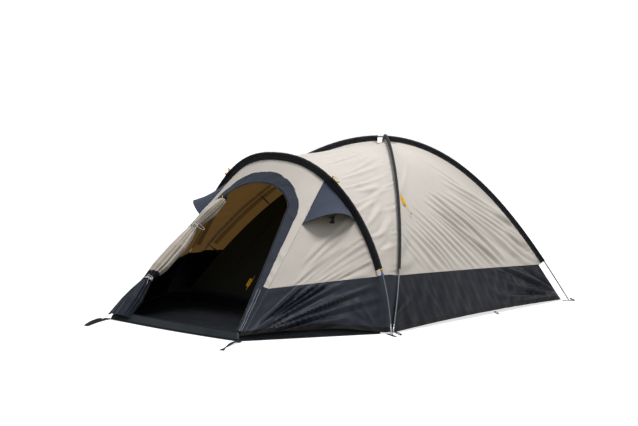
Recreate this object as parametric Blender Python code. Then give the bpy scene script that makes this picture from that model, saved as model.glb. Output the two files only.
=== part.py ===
"""A dome tent with two crossing poles and a hooped porch, at real size.

Metres, +Z up. The tent stands on z = 0, its door faces -Y and its long sides face +X and -X.
"""

import math

import bmesh
import bpy
import numpy as np
from mathutils import Vector

# Plan and heights of the frame
MAIN_LENGTH = 2.37
MAIN_WIDTH = 1.687
PORCH_DEPTH = 0.833
PORCH_FRONT_WIDTH = 0.907
PEAK_HEIGHT = 1.075
HOOP_HEIGHT = 0.937
HOOP_LEAN = 0.018
MAIN_POLE_ROUNDNESS = 1.98
HOOP_ROUNDNESS = 2.39
MAIN_POLE_BOW = 0.044
HOOP_BOW = 0.095

# Poles and their tips
POLE_DIAMETER = 0.0085
TIP_DIAMETER = 0.0096
TIP_LENGTH = 0.062
TIP_BALL_DIAMETER = 0.007
FOOT_SPACING = 0.014

# Sleeves
SLEEVE_DIAMETER = 0.0165
SLEEVE_CLEARANCE = 0.0004
WEB_THICKNESS = 0.002
MAIN_WEB_DEPTH = 0.042
HOOP_WEB_DEPTH = 0.031
CROWN_RADIUS = 0.055
MAIN_SLEEVE_END_HEIGHT = 0.325
HOOP_SLEEVE_END_HEIGHT = 0.325

# Cloth
CLOTH = 0.003
GAP = 0.0003
SEAM_GAP = 0.0004
RIDGE_OFFSET = 0.0014
SIDE_SAG = 0.018
REAR_SAG = 0.018
PORCH_SAG = 0.006

# Heights of the seam between the light cloth and the dark skirt, and of the hem
SEAM_FRONT_CORNER = 0.295
SEAM_REAR_CORNER = 0.245
SEAM_PORCH_CORNER = 0.245
HEM_FRONT_CORNER = 0.034
HEM_REAR_CORNER = 0.016
HEM_PORCH_CORNER = 0.028
HEM_PORCH_LIFT = 0.014

# Porch seam, door and vents
SEAM_BULGE = 0.009
DOOR_ARCH_HALF_WIDTH = 0.255
DOOR_ARCH_SPRING = 0.895
DOOR_ARCH_RISE = 0.163
DOOR_FOOT_INSET = 0.0285
TRIM_LEG_WIDTH = 0.060
TRIM_TOP_WIDTH = 0.082
TRIM_SPRING_DROP = 0.025
TRIM_FOOT_INSET = 0.0065
DOOR_SILL_HEIGHT = 0.05
ZIP_WIDTH = 0.008
ZIP_THICKNESS = 0.002
VENT_LOW_FRONT = 0.565
VENT_LOW_REAR = 0.585
VENT_HOOD_REACH = 0.075
VENT_HOOD_LIFT = 0.058
VENT_HOOD_CLEARANCE = 0.0037
VENT_HOOD_DROP = 0.045
VENT_HOOD_THICKNESS = 0.0025
VENT_HOOD_SEAM_INSET = 0.002
VENT_HOOD_HOOP_INSET = 0.006
STRUT_WIDTH = 0.016
STRUT_THICKNESS = 0.002
STRUT_PAD = 0.028
STRUT_SEAM = 0.004
STRUT_DROP = 0.0012
STRUT_PAD_HEIGHT = 0.60
STRUT_PAD_STAND = 0.0045

# Inner tent and groundsheets
INNER_SIDE_ROOM = 0.1435
INNER_END_ROOM = 0.135
INNER_PEAK_DROP = 0.120
INNER_ROUNDNESS = 1.9
INNER_SAG = 0.02
INNER_TOP_SHARE = 0.035
HOOK_GAP = 0.0007
HOOK_RADIUS = 0.0045
UPPER_HOOK_HEIGHT = 0.66
LOWER_HOOK_HEIGHT = 0.335
TUB_WALL = 0.07
SHEET_THICKNESS = 0.0025
INNER_CLOTH = 0.003
INNER_DOOR_GAP = 0.0006
PORCH_SILL = 0.042
PORCH_WALL = 0.052
PORCH_FLOOR_INSET = 0.012
PORCH_WALL_LEAN = 0.030
PORCH_SHEET_HOOP_INSET = 0.068
CROWN_PATCH_RISE = 0.002

# Webbing, buckles and cords
WEBBING_WIDTH = 0.022
WEBBING_THICKNESS = 0.002
PEG_HOLE_RADIUS = 0.006
ANCHOR_REACH = 0.045
ANCHOR_INWARD = 0.050
FRONT_ANCHOR_ANGLE = 30.7
REAR_ANCHOR_ANGLE = 54.6
STRAP_LENGTH = 0.25
STRAP_ANGLE = 22.0
BUCKLE_LENGTH = 0.030
BUCKLE_WIDTH = 0.030
BUCKLE_THICKNESS = 0.006
BUCKLE_BAR = 0.004
CORD_DIAMETER = 0.0025
CORD_GAP = 0.0010
CORD_LIFT = 0.002
HANK_LENGTH = 0.080
HANK_WIDTH = 0.030
HANK_WAIST = 0.001
LEAD_LENGTH = 0.115
TAIL_LENGTH = 0.085
RUNNER_END = 0.006
INNER_HANK_LENGTH = 0.055
INNER_HANK_WIDTH = 0.022
INNER_HANK_TAIL = 0.035
INNER_HANK_SHARE = 0.55
RUNNER_LENGTH = 0.016
RUNNER_WIDTH = 0.009
RUNNER_THICKNESS = 0.007
GUY_TAB_HEIGHT = 0.77
HOOP_TAB_HEIGHT = 0.77
HOOP_LOOP_RADIUS = 0.010

# The gathered door and its slider; a share is of the door's slope or of the gathered cloth's length
FLAP_TOP_SHARE = 0.81
FLAP_FOOT_SHARE = 0.075
FLAP_TIE_SHARES = (0.20, 0.66)
FLAP_SWELL = 0.026
FLAP_WIDTH = 0.034
FLAP_INSET = 0.040
FLAP_FOOT_INSET = 0.020
FLAP_BEND_SHARE = 0.11
FLAP_NECK_SHARE = 0.12
FLAP_NECK_FACTOR = 0.55
FLAP_RIB_FACTOR = 0.15
FLAP_PINCH_SHARE = 0.05
FLAP_TIE_HALF_SHARE = 0.008
FLAP_SWELL_PINCH_FACTOR = 0.33
FLAP_WIDTH_PINCH_FACTOR = 0.36
FLAP_FOOT_THINNING_FACTOR = 0.25
FLAP_FOOT_WIDENING_FACTOR = 0.9
FLAP_BACK_GAP = 0.0045
TIE_WIDTH = 0.006
TIE_THICKNESS = 0.002
TIE_CLEARANCE = 0.0006
SLIDER_THICKNESS = 0.004
SLIDER_RISE = 0.0010
SLIDER_HALF_WIDTH = 0.0055
SLIDER_LENGTH = 0.034
SLIDER_INWARD = 0.0025
SLIDER_START_SHARE = 0.71
SLIDER_STOP_SHARE = 0.50

# The distance over which a direction along curved cloth is measured
SURFACE_STEP = 0.01

# Counts of rows, columns, steps, sides and turns
MAIN_SLEEVE_STEPS = 13
HOOP_SLEEVE_STEPS = 14
SEAM_TOP_STATION = 8
VENT_STATION = 5
PANEL_COLUMNS = 8
SKIRT_ROWS = 3
ROOF_ROWS = 4
PORCH_COLUMNS = 6
PORCH_SKIRT_ROWS = 4
HOOD_ROWS = 5
HOOD_COLUMNS = 8
INNER_LEVELS = 9
INNER_COLUMNS = 7
INNER_DOOR_TOP_ROW = 3
INNER_HANK_COLUMN = 2
STRAP_STEPS = 6
FLAP_FOLDS = 7
FLAP_ROWS = 22
FLAP_SIDES = 42
HANK_LOOPS = 6
INNER_HANK_LOOPS = 4
HANK_POINTS = 16
LEAD_STEPS = 10
HOOP_LOOP_STEPS = 16
HOOP_LOOP_SIDES = 6
POLE_SIDES = 8

# Each strap's buckle starts where it meets the porch groundsheet's corner (1 is right, -1 is left).
# The origin lies midway between the front of the porch straps and the rear of the corner anchors.
STRAP_TURN = math.radians(STRAP_ANGLE)
STRAP_STARTS = {
    1: GAP - PORCH_FLOOR_INSET * (math.sin(STRAP_TURN) + math.cos(STRAP_TURN)),
    -1: (GAP - PORCH_FLOOR_INSET + BUCKLE_WIDTH / 2 * math.sin(STRAP_TURN)) / math.cos(STRAP_TURN),
}
REAR_ANCHOR_TURN = math.radians(REAR_ANCHOR_ANGLE)
STRAP_REACH = max(STRAP_STARTS.values()) + BUCKLE_LENGTH + GAP + STRAP_LENGTH
STRAP_FORWARD = STRAP_REACH * math.cos(STRAP_TURN) + WEBBING_WIDTH / 2 * math.sin(STRAP_TURN)
ANCHOR_BEHIND = (ANCHOR_REACH - WEBBING_WIDTH / 2) * math.sin(REAR_ANCHOR_TURN) + WEBBING_WIDTH / 2
FRONT_Y = (PORCH_DEPTH + STRAP_FORWARD - MAIN_LENGTH - ANCHOR_BEHIND) / 2
REAR_Y = FRONT_Y + MAIN_LENGTH
PORCH_Y = FRONT_Y - PORCH_DEPTH
HALF_WIDTH = MAIN_WIDTH / 2
PORCH_HALF = PORCH_FRONT_WIDTH / 2
DOOR_FOOT_HALF_WIDTH = PORCH_HALF - DOOR_FOOT_INSET
FRAME_ARCH_HALF_WIDTH = DOOR_ARCH_HALF_WIDTH + TRIM_LEG_WIDTH
FRAME_ARCH_SPRING = DOOR_ARCH_SPRING - TRIM_SPRING_DROP
FRAME_ARCH_RISE = DOOR_ARCH_RISE + TRIM_TOP_WIDTH + TRIM_SPRING_DROP
FRAME_FOOT_HALF_WIDTH = PORCH_HALF - TRIM_FOOT_INSET
INNER_WIDTH = MAIN_WIDTH - 2 * INNER_SIDE_ROOM
INNER_LENGTH = MAIN_LENGTH - 2 * INNER_END_ROOM
INNER_FRONT = FRONT_Y + INNER_END_ROOM
POLE_RADIUS = POLE_DIAMETER / 2
SLEEVE_RADIUS = SLEEVE_DIAMETER / 2
SLEEVE_FLAT = SLEEVE_RADIUS * math.cos(math.radians(24))
UP = np.array([0.0, 0.0, 1.0])
RIGHT = 1
LEFT = -1


def vec(*xyz):
    return np.array(xyz, float)


def unit(v):
    return v / np.linalg.norm(v)


def lerp(a, b, t):
    return a + (b - a) * t


class Arch:
    """A pole bent into an arch: u is -1 at its first foot, 0 at its top and 1 at its other foot."""

    def __init__(self, foot_a, foot_b, top, roundness, bow, depth):
        self.middle = (foot_a + foot_b) / 2
        self.half = (foot_b - foot_a) / 2
        self.lift = top - self.middle
        self.roundness = roundness
        self.side = unit(np.cross(self.half, UP))
        self.bow = bow
        self.depth = depth

    def point(self, u):
        rise = 1 - abs(u) ** self.roundness
        bow = 4 * self.bow * rise * (1 - rise)
        return self.middle + self.half * u + self.lift * rise + self.side * bow

    def tangent(self, u):
        step = 1e-4
        return unit(self.point(u + step) - self.point(u - step))

    def outward(self, u):
        """The direction away from the cloth, square to the pole and in its upright plane."""
        n = unit(np.cross(self.side, self.tangent(u)))
        return n if n[2] >= 0 else -n

    def ridge(self, u, side):
        """A point of the cloth's edge under the pole, on the given side of the web."""
        return self.point(u) - self.outward(u) * self.depth + self.side * side * RIDGE_OFFSET

    def u_at(self, height, sign):
        """The u at which the cloth's edge has this height, on the half that sign names."""
        low, high = 0.0, 1.0
        for _ in range(40):
            u = (low + high) / 2
            if self.ridge(sign * u, 0)[2] > height:
                low = u
            else:
                high = u
        return sign * (low + high) / 2


def foot(side, y, z=0.0):
    return vec(side * HALF_WIDTH, y, z)


FOOT_LIFT = WEBBING_THICKNESS + GAP
POLE_SPLIT = (POLE_DIAMETER + GAP) / 2
PEAK = vec(0, (FRONT_Y + REAR_Y) / 2, PEAK_HEIGHT)
MAIN_DEPTH = SLEEVE_RADIUS + MAIN_WEB_DEPTH
HOOP_DEPTH = SLEEVE_RADIUS + HOOP_WEB_DEPTH
MAIN_FRONT_Y = FRONT_Y + FOOT_SPACING / 2
HOOP_Y = FRONT_Y - FOOT_SPACING / 2

# Pole one runs from the right rear to the left front, and pole two over it the other way.
POLE_ONE = Arch(
    foot(RIGHT, REAR_Y, FOOT_LIFT), foot(LEFT, MAIN_FRONT_Y, FOOT_LIFT), PEAK - UP * POLE_SPLIT,
    MAIN_POLE_ROUNDNESS, MAIN_POLE_BOW, MAIN_DEPTH,
)
POLE_TWO = Arch(
    foot(LEFT, REAR_Y, FOOT_LIFT), foot(RIGHT, MAIN_FRONT_Y, FOOT_LIFT), PEAK + UP * POLE_SPLIT,
    MAIN_POLE_ROUNDNESS, -MAIN_POLE_BOW, MAIN_DEPTH,
)
HOOP = Arch(
    foot(RIGHT, HOOP_Y, FOOT_LIFT), foot(LEFT, HOOP_Y, FOOT_LIFT), vec(0, HOOP_Y + HOOP_LEAN, HOOP_HEIGHT),
    HOOP_ROUNDNESS, HOOP_BOW, HOOP_DEPTH,
)


def material(name, colour, roughness, metallic=0.0):
    m = bpy.data.materials.get(name)
    if m is None:
        m = bpy.data.materials.new(name)
        m.use_nodes = True
        shader = m.node_tree.nodes["Principled BSDF"]
        shader.inputs["Base Color"].default_value = (*colour, 1)
        shader.inputs["Roughness"].default_value = roughness
        shader.inputs["Metallic"].default_value = metallic
        m.diffuse_color = (*colour, 1)
    return m


def light_cloth():
    return material("light_cloth", (0.66, 0.60, 0.52), 0.9)


def dark_cloth():
    return material("dark_cloth", (0.03, 0.035, 0.045), 0.7)


def slate_cloth():
    return material("slate_cloth", (0.10, 0.12, 0.16), 0.75)


def sleeve_cloth():
    return material("sleeve_cloth", (0.025, 0.027, 0.032), 0.8)


def inner_cloth():
    return material("inner_cloth", (0.008, 0.008, 0.009), 0.9)


def floor_cloth():
    return material("floor_cloth", (0.05, 0.065, 0.085), 0.5)


def mesh_cloth():
    return material("mesh_cloth", (0.012, 0.012, 0.013), 0.8)


def pole_metal():
    return material("pole_metal", (0.17, 0.18, 0.19), 0.35, 0.9)


def tip_metal():
    return material("tip_metal", (0.65, 0.66, 0.67), 0.3, 1.0)


def webbing():
    return material("webbing", (0.02, 0.02, 0.022), 0.8)


def moulded_plastic():
    return material("moulded_plastic", (0.08, 0.085, 0.09), 0.45)


def guy_cord():
    return material("guy_cord", (0.85, 0.50, 0.01), 0.6)


def pale_cord():
    return material("pale_cord", (0.62, 0.60, 0.56), 0.8)


def solid(name, points, faces, finish, smooth=False):
    """One object with one closed mesh whose faces point out."""
    mesh = bpy.data.meshes.new(name)
    mesh.from_pydata([tuple(float(c) for c in p) for p in points], [], faces)
    bm = bmesh.new()
    bm.from_mesh(mesh)
    bmesh.ops.recalc_face_normals(bm, faces=bm.faces)
    bm.to_mesh(mesh)
    bm.free()
    mesh.materials.append(finish)
    obj = bpy.data.objects.new(name, mesh)
    bpy.context.scene.collection.objects.link(obj)
    if smooth:
        mesh.shade_smooth()
        mesh.set_sharp_from_angle(angle=math.radians(40))
    return obj


def set_origin(obj, place):
    """Puts the object's origin at a point without moving its mesh."""
    for v in obj.data.vertices:
        v.co -= Vector(place)
    obj.location = Vector(place)


def surface_normals(grid, wraps=False):
    """The unit normals of a grid of points, from the differences between neighbours."""
    down = np.gradient(grid, axis=0)
    if wraps:
        across = np.roll(grid, -1, axis=1) - np.roll(grid, 1, axis=1)
    else:
        across = np.gradient(grid, axis=1)
    n = np.cross(down, across)
    length = np.linalg.norm(n, axis=2, keepdims=True)
    return n / np.maximum(length, 1e-12)


def facing(normals, direction):
    """The normals turned so that they point to the direction's side."""
    middle = normals[normals.shape[0] // 2, normals.shape[1] // 2]
    return normals if middle @ direction > 0 else -normals


def sheet(name, grid, out, finish, thickness=CLOTH, wraps=False, holes=(), capped=False):
    """A closed cloth panel: the grid is its inner face, and out leads each point to its outer face.

    Both faces split their quads along the same diagonal. Cells listed in holes are left open, and
    capped closes the first row's ring.
    """
    rows, cols = grid.shape[:2]
    points = [*grid.reshape(-1, 3), *(grid + out * thickness).reshape(-1, 3)]
    layer = rows * cols
    last = cols if wraps else cols - 1
    kept = {(i, j) for i in range(rows - 1) for j in range(last)} - set(holes)
    faces = []
    edges = {}
    for i, j in sorted(kept):
        a, b = i * cols + j, i * cols + (j + 1) % cols
        c, d = b + cols, a + cols
        for tri in ((a, b, c), (a, c, d)):
            faces.append(tri)
            faces.append(tuple(k + layer for k in reversed(tri)))
        for edge in ((a, b), (b, c), (c, d), (d, a)):
            key = tuple(sorted(edge))
            edges[key] = None if key in edges else edge
    for edge in edges.values():
        if edge is None or (capped and max(edge) < cols):
            continue
        a, b = edge
        if a < b:
            faces += [(b, a, b + layer), (a, a + layer, b + layer)]
        else:
            faces += [(b, a, a + layer), (b, a + layer, b + layer)]
    if capped:
        faces += [tuple(range(cols)), tuple(k + layer for k in reversed(range(cols)))]
    used = sorted({k for f in faces for k in f})
    place = {k: n for n, k in enumerate(used)}
    return solid(name, [points[k] for k in used], [tuple(place[k] for k in f) for f in faces], finish)


def loft(name, rings, finish, smooth=True):
    """A closed solid through rings of points that have the same count, with flat ends."""
    rings = [np.asarray(r) for r in rings]
    count = len(rings[0])
    points = [p for ring in rings for p in ring]
    faces = []
    for i in range(len(rings) - 1):
        for j in range(count):
            a, b = i * count + j, i * count + (j + 1) % count
            faces.append((a, b, b + count, a + count))
    faces.append(tuple(range(count)))
    faces.append(tuple(range((len(rings) - 1) * count, len(rings) * count)))
    return solid(name, points, faces, finish, smooth)


def tube_with_bore(name, outer_rings, inner_rings, finish):
    """A closed solid between an outer and an inner row of rings, open at both ends."""
    n_out, n_in, count = len(outer_rings[0]), len(inner_rings[0]), len(outer_rings)
    points = [p for ring in outer_rings for p in ring] + [p for ring in inner_rings for p in ring]
    start = n_out * count
    faces = []
    for i in range(count - 1):
        for j in range(n_out):
            a, b = i * n_out + j, i * n_out + (j + 1) % n_out
            faces.append((a, b, b + n_out, a + n_out))
        for j in range(n_in):
            a, b = start + i * n_in + j, start + i * n_in + (j + 1) % n_in
            faces.append((b, a, a + n_in, b + n_in))
    for i in (0, count - 1):
        outer_end = [i * n_out + j for j in range(n_out)]
        inner_end = [start + i * n_in + j for j in range(n_in)]
        faces += ring_cap(outer_end, inner_end, points)
    return solid(name, points, faces, finish)


def ring_cap(outer, inner, points):
    """Triangles between a closed outline and the closed outline inside it."""
    centre = np.mean([points[k] for k in inner], axis=0)
    i, j, faces = 0, 0, []
    start = min(range(len(inner)), key=lambda k: np.linalg.norm(points[inner[k]] - points[outer[0]]))
    axis = np.cross(points[outer[1]] - centre, points[outer[2]] - centre)
    turn = np.cross(points[inner[1]] - centre, points[inner[2]] - centre) @ axis
    step = 1 if turn > 0 else -1
    inner = [inner[(start + step * k) % len(inner)] for k in range(len(inner))]
    while i < len(outer) or j < len(inner):
        a, b = outer[i % len(outer)], inner[j % len(inner)]
        next_a, next_b = outer[(i + 1) % len(outer)], inner[(j + 1) % len(inner)]
        across_a = np.linalg.norm(points[next_a] - points[b]) if i < len(outer) else math.inf
        across_b = np.linalg.norm(points[next_b] - points[a]) if j < len(inner) else math.inf
        if across_a <= across_b:
            faces.append((a, next_a, b))
            i += 1
        else:
            faces.append((a, next_b, b))
            j += 1
    return faces


def circle(centre, x_axis, y_axis, radius, sides, start=0.0):
    angles = [start + 2 * math.pi * k / sides for k in range(sides)]
    return [centre + (x_axis * math.cos(a) + y_axis * math.sin(a)) * radius for a in angles]


def box_sweep(name, path, across, width, thickness, finish):
    """A flat strap along a path; across is its width's direction, and thickness lies both sides."""
    path = np.asarray(path)
    tangents = np.gradient(path, axis=0)
    rings = []
    for p, t in zip(path, tangents):
        n = unit(np.cross(across, t))
        a, b = across * width / 2, n * thickness / 2
        rings.append([p - a - b, p + a - b, p + a + b, p - a + b])
    return loft(name, rings, finish, smooth=False)


def round_cord(name, path, diameter, finish, sides_setting=1):
    """A round cord through the path's points, as a curve with a bevel and closed ends."""
    curve = bpy.data.curves.new(name, "CURVE")
    curve.dimensions = "3D"
    curve.bevel_depth = diameter / 2
    curve.bevel_resolution = sides_setting
    curve.use_fill_caps = True
    spline = curve.splines.new("POLY")
    spline.points.add(len(path) - 1)
    for point, place in zip(spline.points, path):
        point.co = (*[float(c) for c in place], 1)
    curve.materials.append(finish)
    obj = bpy.data.objects.new(name, curve)
    bpy.context.scene.collection.objects.link(obj)
    return obj


# Poles, tips and sleeves


def leg_samples(arch, sign, sleeve_height, count=3):
    """The u values of a pole's bare leg, from its tip to the end of the sleeve."""
    reach = TIP_LENGTH + GAP
    start = 1.0
    while np.linalg.norm(arch.point(sign * start) - arch.point(sign)) < reach:
        start -= 0.0005
    end = abs(arch.u_at(sleeve_height, sign))
    return [lerp(start, end, k / count) for k in range(count + 1)]


def sleeve_samples(arch, sign, sleeve_height, top_u, count):
    """The u values along a sleeve, from its lower end to its top, evenly spread in turning."""
    low = abs(arch.u_at(sleeve_height, sign))
    a, b = math.asin(low), math.asin(top_u)
    return [math.sin(lerp(a, b, k / count)) for k in range(count + 1)]


def chord_place(arch, sign, u):
    """The pole's middle and its outward direction at a place between two of its stations."""
    if arch is HOOP:
        stations = sleeve_samples(arch, sign, HOOP_SLEEVE_END_HEIGHT, 0.0, HOOP_SLEEVE_STEPS)
    else:
        stations = sleeve_samples(arch, sign, MAIN_SLEEVE_END_HEIGHT, crown_u(arch), MAIN_SLEEVE_STEPS)
    for a, b in zip(stations, stations[1:]):
        if b <= abs(u) <= a:
            t = (a - abs(u)) / (a - b)
            middle = lerp(arch.point(sign * a), arch.point(sign * b), t)
            return middle, unit(lerp(arch.outward(sign * a), arch.outward(sign * b), t))
    raise ValueError("the place is outside the sleeve")


def crown_u(arch):
    return CROWN_RADIUS / np.linalg.norm(arch.half)


def half_stations(arch, sign, sleeve_height, top_u, steps):
    """The u values of half a pole, from the end of its tip up to its top, the same as its sleeve's."""
    sleeve_part = sleeve_samples(arch, sign, sleeve_height, top_u, steps)
    return leg_samples(arch, sign, sleeve_height) + sleeve_part[1:]


def tip_axis(arch, sign):
    """The tip's lower end and its direction, towards the place where the pole starts."""
    base = arch.point(sign) + UP * 0.3 * TIP_BALL_DIAMETER / 2
    start = leg_samples(arch, sign, MAIN_SLEEVE_END_HEIGHT)[0]
    return base, unit(arch.point(sign * start) - base)


def tip_ring(arch, sign, height, radius, sides=POLE_SIDES):
    """A ring square to the tip, at a distance from its lower end."""
    base, axis = tip_axis(arch, sign)
    across = unit(arch.side - axis * (arch.side @ axis))
    out = np.cross(across, axis)
    out = out if out @ arch.outward(sign) > 0 else -out
    return circle(base + axis * height, across, out, radius, sides)


def pole(name, arch, sleeve_height, top_u, steps):
    rings = [tip_ring(arch, -1, TIP_LENGTH + GAP, POLE_RADIUS)]
    first = half_stations(arch, -1, sleeve_height, top_u, steps)[1:]
    second = half_stations(arch, 1, sleeve_height, top_u, steps)[1:]
    if top_u == 0:
        second = second[:-1]
    for u in [-u for u in first] + second[::-1]:
        rings.append(circle(arch.point(u), arch.side, arch.outward(u), POLE_RADIUS, POLE_SIDES))
    rings.append(tip_ring(arch, 1, TIP_LENGTH + GAP, POLE_RADIUS))
    loft(name, rings, pole_metal())


def pole_tip(name, arch, sign):
    """A turned metal tip: a socket-width barrel, a neck and a rounded end that stands in its eyelet."""
    barrel, ball = TIP_DIAMETER / 2, TIP_BALL_DIAMETER / 2
    profile = [
        (0.30 * ball, 0.0), (0.85 * ball, 0.0015), (ball, 0.0035), (0.8 * ball, 0.0065), (0.8 * ball, 0.012),
        (barrel, 0.0145), (barrel, TIP_LENGTH),
    ]
    rings = [tip_ring(arch, sign, height, radius) for radius, height in profile]
    loft(name, rings, tip_metal())


def sleeve_outline(depth):
    """The sleeve's outer outline as (sideways, outward) pairs: a round pocket on a thin web."""
    turns = [math.radians(a) for a in (-72, -24, 24, 66, 114, 156, 204, 252)]
    pocket = [(SLEEVE_RADIUS * math.cos(a), SLEEVE_RADIUS * math.sin(a)) for a in turns]
    half_web = WEB_THICKNESS / 2
    return [(half_web, -depth), *pocket, (-half_web, -depth)]


def sleeve(name, arch, stations, depth, finish):
    outline = sleeve_outline(depth - GAP)
    bore_radius = POLE_RADIUS + SLEEVE_CLEARANCE
    outer, inner = [], []
    for u in stations:
        centre, side, out = arch.point(u), arch.side, arch.outward(u)
        outer.append([centre + side * s + out * n for s, n in outline])
        inner.append(circle(centre, side, out, bore_radius, POLE_SIDES))
    tube_with_bore(name, outer, inner, finish)


def frame():
    main_top = crown_u(POLE_ONE)
    for name, arch, rear_side in (("main_pole_1", POLE_ONE, "right"), ("main_pole_2", POLE_TWO, "left")):
        front_side = "left" if rear_side == "right" else "right"
        pole(name, arch, MAIN_SLEEVE_END_HEIGHT, main_top, MAIN_SLEEVE_STEPS)
        pole_tip(f"{name}_rear_tip", arch, -1)
        pole_tip(f"{name}_front_tip", arch, 1)
        for sign, where in ((-1, f"{rear_side}_rear"), (1, f"{front_side}_front")):
            samples = sleeve_samples(arch, sign, MAIN_SLEEVE_END_HEIGHT, main_top, MAIN_SLEEVE_STEPS)
            stations = [sign * u for u in samples]
            sleeve(f"sleeve_{where}", arch, stations, MAIN_DEPTH, sleeve_cloth())
    pole("hoop_pole", HOOP, HOOP_SLEEVE_END_HEIGHT, 0.0, HOOP_SLEEVE_STEPS)
    pole_tip("hoop_right_tip", HOOP, -1)
    pole_tip("hoop_left_tip", HOOP, 1)
    half = sleeve_samples(HOOP, 1, HOOP_SLEEVE_END_HEIGHT, 0.0, HOOP_SLEEVE_STEPS)
    sleeve("sleeve_hoop", HOOP, [-u for u in half] + half[:-1][::-1], HOOP_DEPTH, sleeve_cloth())


# Main dome cloth


def ridge_of(side, y_end):
    """The arch over a corner, its half's sign, and which side of it the long side's cloth lies on."""
    if (side, y_end) in ((RIGHT, "rear"), (LEFT, "front")):
        return POLE_ONE, (-1 if y_end == "rear" else 1)
    return POLE_TWO, (-1 if y_end == "rear" else 1)


def web_side(arch, towards):
    """Which side of an arch's web a direction lies on."""
    return 1 if arch.side @ towards > 0 else -1


def flat(direction):
    """The direction's level part, which the edges of seams keep to."""
    return unit(direction * vec(1, 1, 0))


class Edge:
    """One edge of a main dome panel, down a pole from the crown to the seam and on to the hem."""

    def __init__(self, side, y_end, towards):
        self.arch, self.sign = ridge_of(side, y_end)
        self.web = web_side(self.arch, towards)
        seam, hem = {
            "rear": (SEAM_REAR_CORNER, HEM_REAR_CORNER), "front": (SEAM_FRONT_CORNER, HEM_FRONT_CORNER),
        }[y_end]
        top_u = crown_u(self.arch)
        samples = sleeve_samples(self.arch, self.sign, MAIN_SLEEVE_END_HEIGHT, top_u, MAIN_SLEEVE_STEPS)
        self.upper = [self.place(self.sign * u) for u in samples[::-1]]
        seam_point_out = self.place(self.arch.u_at(seam, self.sign))
        corner = self.place(self.arch.u_at(hem, self.sign))
        self.upper.append(seam_point_out)
        self.lower = [lerp_pair(seam_point_out, corner, k / SKIRT_ROWS) for k in range(SKIRT_ROWS + 1)]

    def place(self, u):
        return self.arch.ridge(u, self.web), self.arch.outward(u)


def lerp_pair(a, b, t):
    return lerp(a[0], b[0], t), unit(lerp(a[1], b[1], t))


def ruled_grid(edge_a, edge_b, sag, inward):
    """Rows between two edges; each row's middle is drawn in by its own share of sag."""
    grid = []
    for (a, _), (b, _), depth in zip(edge_a, edge_b, sag):
        ts = [j / PANEL_COLUMNS for j in range(PANEL_COLUMNS + 1)]
        grid.append([lerp(a, b, t) + inward * depth * 4 * t * (1 - t) for t in ts])
    return np.array(grid)


def panel_out(grid, edge_a, edge_b, outward, seam_row):
    """A panel's outward directions: level along its seam, and the poles' own along its edges."""
    out = facing(surface_normals(grid), outward)
    out[:, 0] = [n for _, n in edge_a]
    out[:, -1] = [n for _, n in edge_b]
    out[seam_row] = [flat(n) for n in out[seam_row]]
    out[seam_row, 1:-1] = outward
    return out


def main_panel(name, corners, outward, sag):
    """A light upper panel and the dark skirt below it, between two corners of the dome."""
    edge_a, edge_b = (Edge(side, y_end, outward) for side, y_end in corners)
    rows = len(edge_a.upper) - 1
    upper = ruled_grid(edge_a.upper, edge_b.upper, [sag * k / rows for k in range(rows + 1)], -outward)
    fade = [sag * (1 - k / SKIRT_ROWS) for k in range(SKIRT_ROWS + 1)]
    lower = ruled_grid(edge_a.lower, edge_b.lower, fade, -outward)
    out_upper = panel_out(upper, edge_a.upper, edge_b.upper, outward, -1)
    out_lower = panel_out(lower, edge_a.lower, edge_b.lower, outward, 0)
    upper[-1] += UP * SEAM_GAP / 2
    lower[0] -= UP * SEAM_GAP / 2
    sheet(f"fly_{name}", upper, out_upper, light_cloth())
    sheet(f"skirt_{name}", lower, out_lower, dark_cloth())
    return upper


def crown_patch():
    """The four-cornered patch where the panels meet under the crossing."""
    ring, out = [], []
    for side, y_end in ((RIGHT, "front"), (RIGHT, "rear"), (LEFT, "rear"), (LEFT, "front")):
        arch, sign = ridge_of(side, y_end)
        u = sign * (crown_u(arch) - GAP)
        ring.append(arch.point(u) - arch.outward(u) * arch.depth)
        out.append(arch.outward(u))
    centre = np.mean(ring, axis=0) + UP * CROWN_PATCH_RISE
    low = [*ring, centre]
    high = [p + n * CLOTH for p, n in zip(ring, out)] + [centre + UP * CLOTH]
    points = low + high
    faces = []
    for i in range(4):
        j = (i + 1) % 4
        faces += [(i, j, 4), (i + 5, j + 5, 9), (i, j, j + 5), (i, j + 5, i + 5)]
    solid("crown_patch", points, faces, slate_cloth())


def dome():
    panels = {
        RIGHT: main_panel("side_right", ((RIGHT, "front"), (RIGHT, "rear")), vec(1, 0, 0), SIDE_SAG),
        LEFT: main_panel("side_left", ((LEFT, "rear"), (LEFT, "front")), vec(-1, 0, 0), SIDE_SAG),
    }
    main_panel("rear", ((RIGHT, "rear"), (LEFT, "rear")), vec(0, 1, 0), REAR_SAG)
    crown_patch()
    return panels


def hoop_stations():
    """The hoop's u values from its seam, through its sleeve's lower end, to its top."""
    samples = sleeve_samples(HOOP, 1, HOOP_SLEEVE_END_HEIGHT, 0.0, HOOP_SLEEVE_STEPS)
    return [abs(HOOP.u_at(SEAM_FRONT_CORNER, 1)), *samples]


def roof_half(side):
    """Matching edge points and directions on the hoop and on the main pole, from the seam to the crown."""
    arch, sign = ridge_of(side, "front")
    web = web_side(arch, vec(0, -1, 0))
    hoop_web = web_side(HOOP, vec(0, 1, 0))
    main = [abs(arch.u_at(SEAM_FRONT_CORNER, sign))]
    main += sleeve_samples(arch, sign, MAIN_SLEEVE_END_HEIGHT, crown_u(arch), MAIN_SLEEVE_STEPS)
    pairs = []
    for hoop_u, main_u in zip(hoop_stations(), main):
        near = HOOP.ridge(-side * hoop_u, hoop_web), HOOP.outward(-side * hoop_u)
        far = arch.ridge(sign * main_u, web), arch.outward(sign * main_u)
        pairs.append((near, far))
    return pairs


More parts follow.
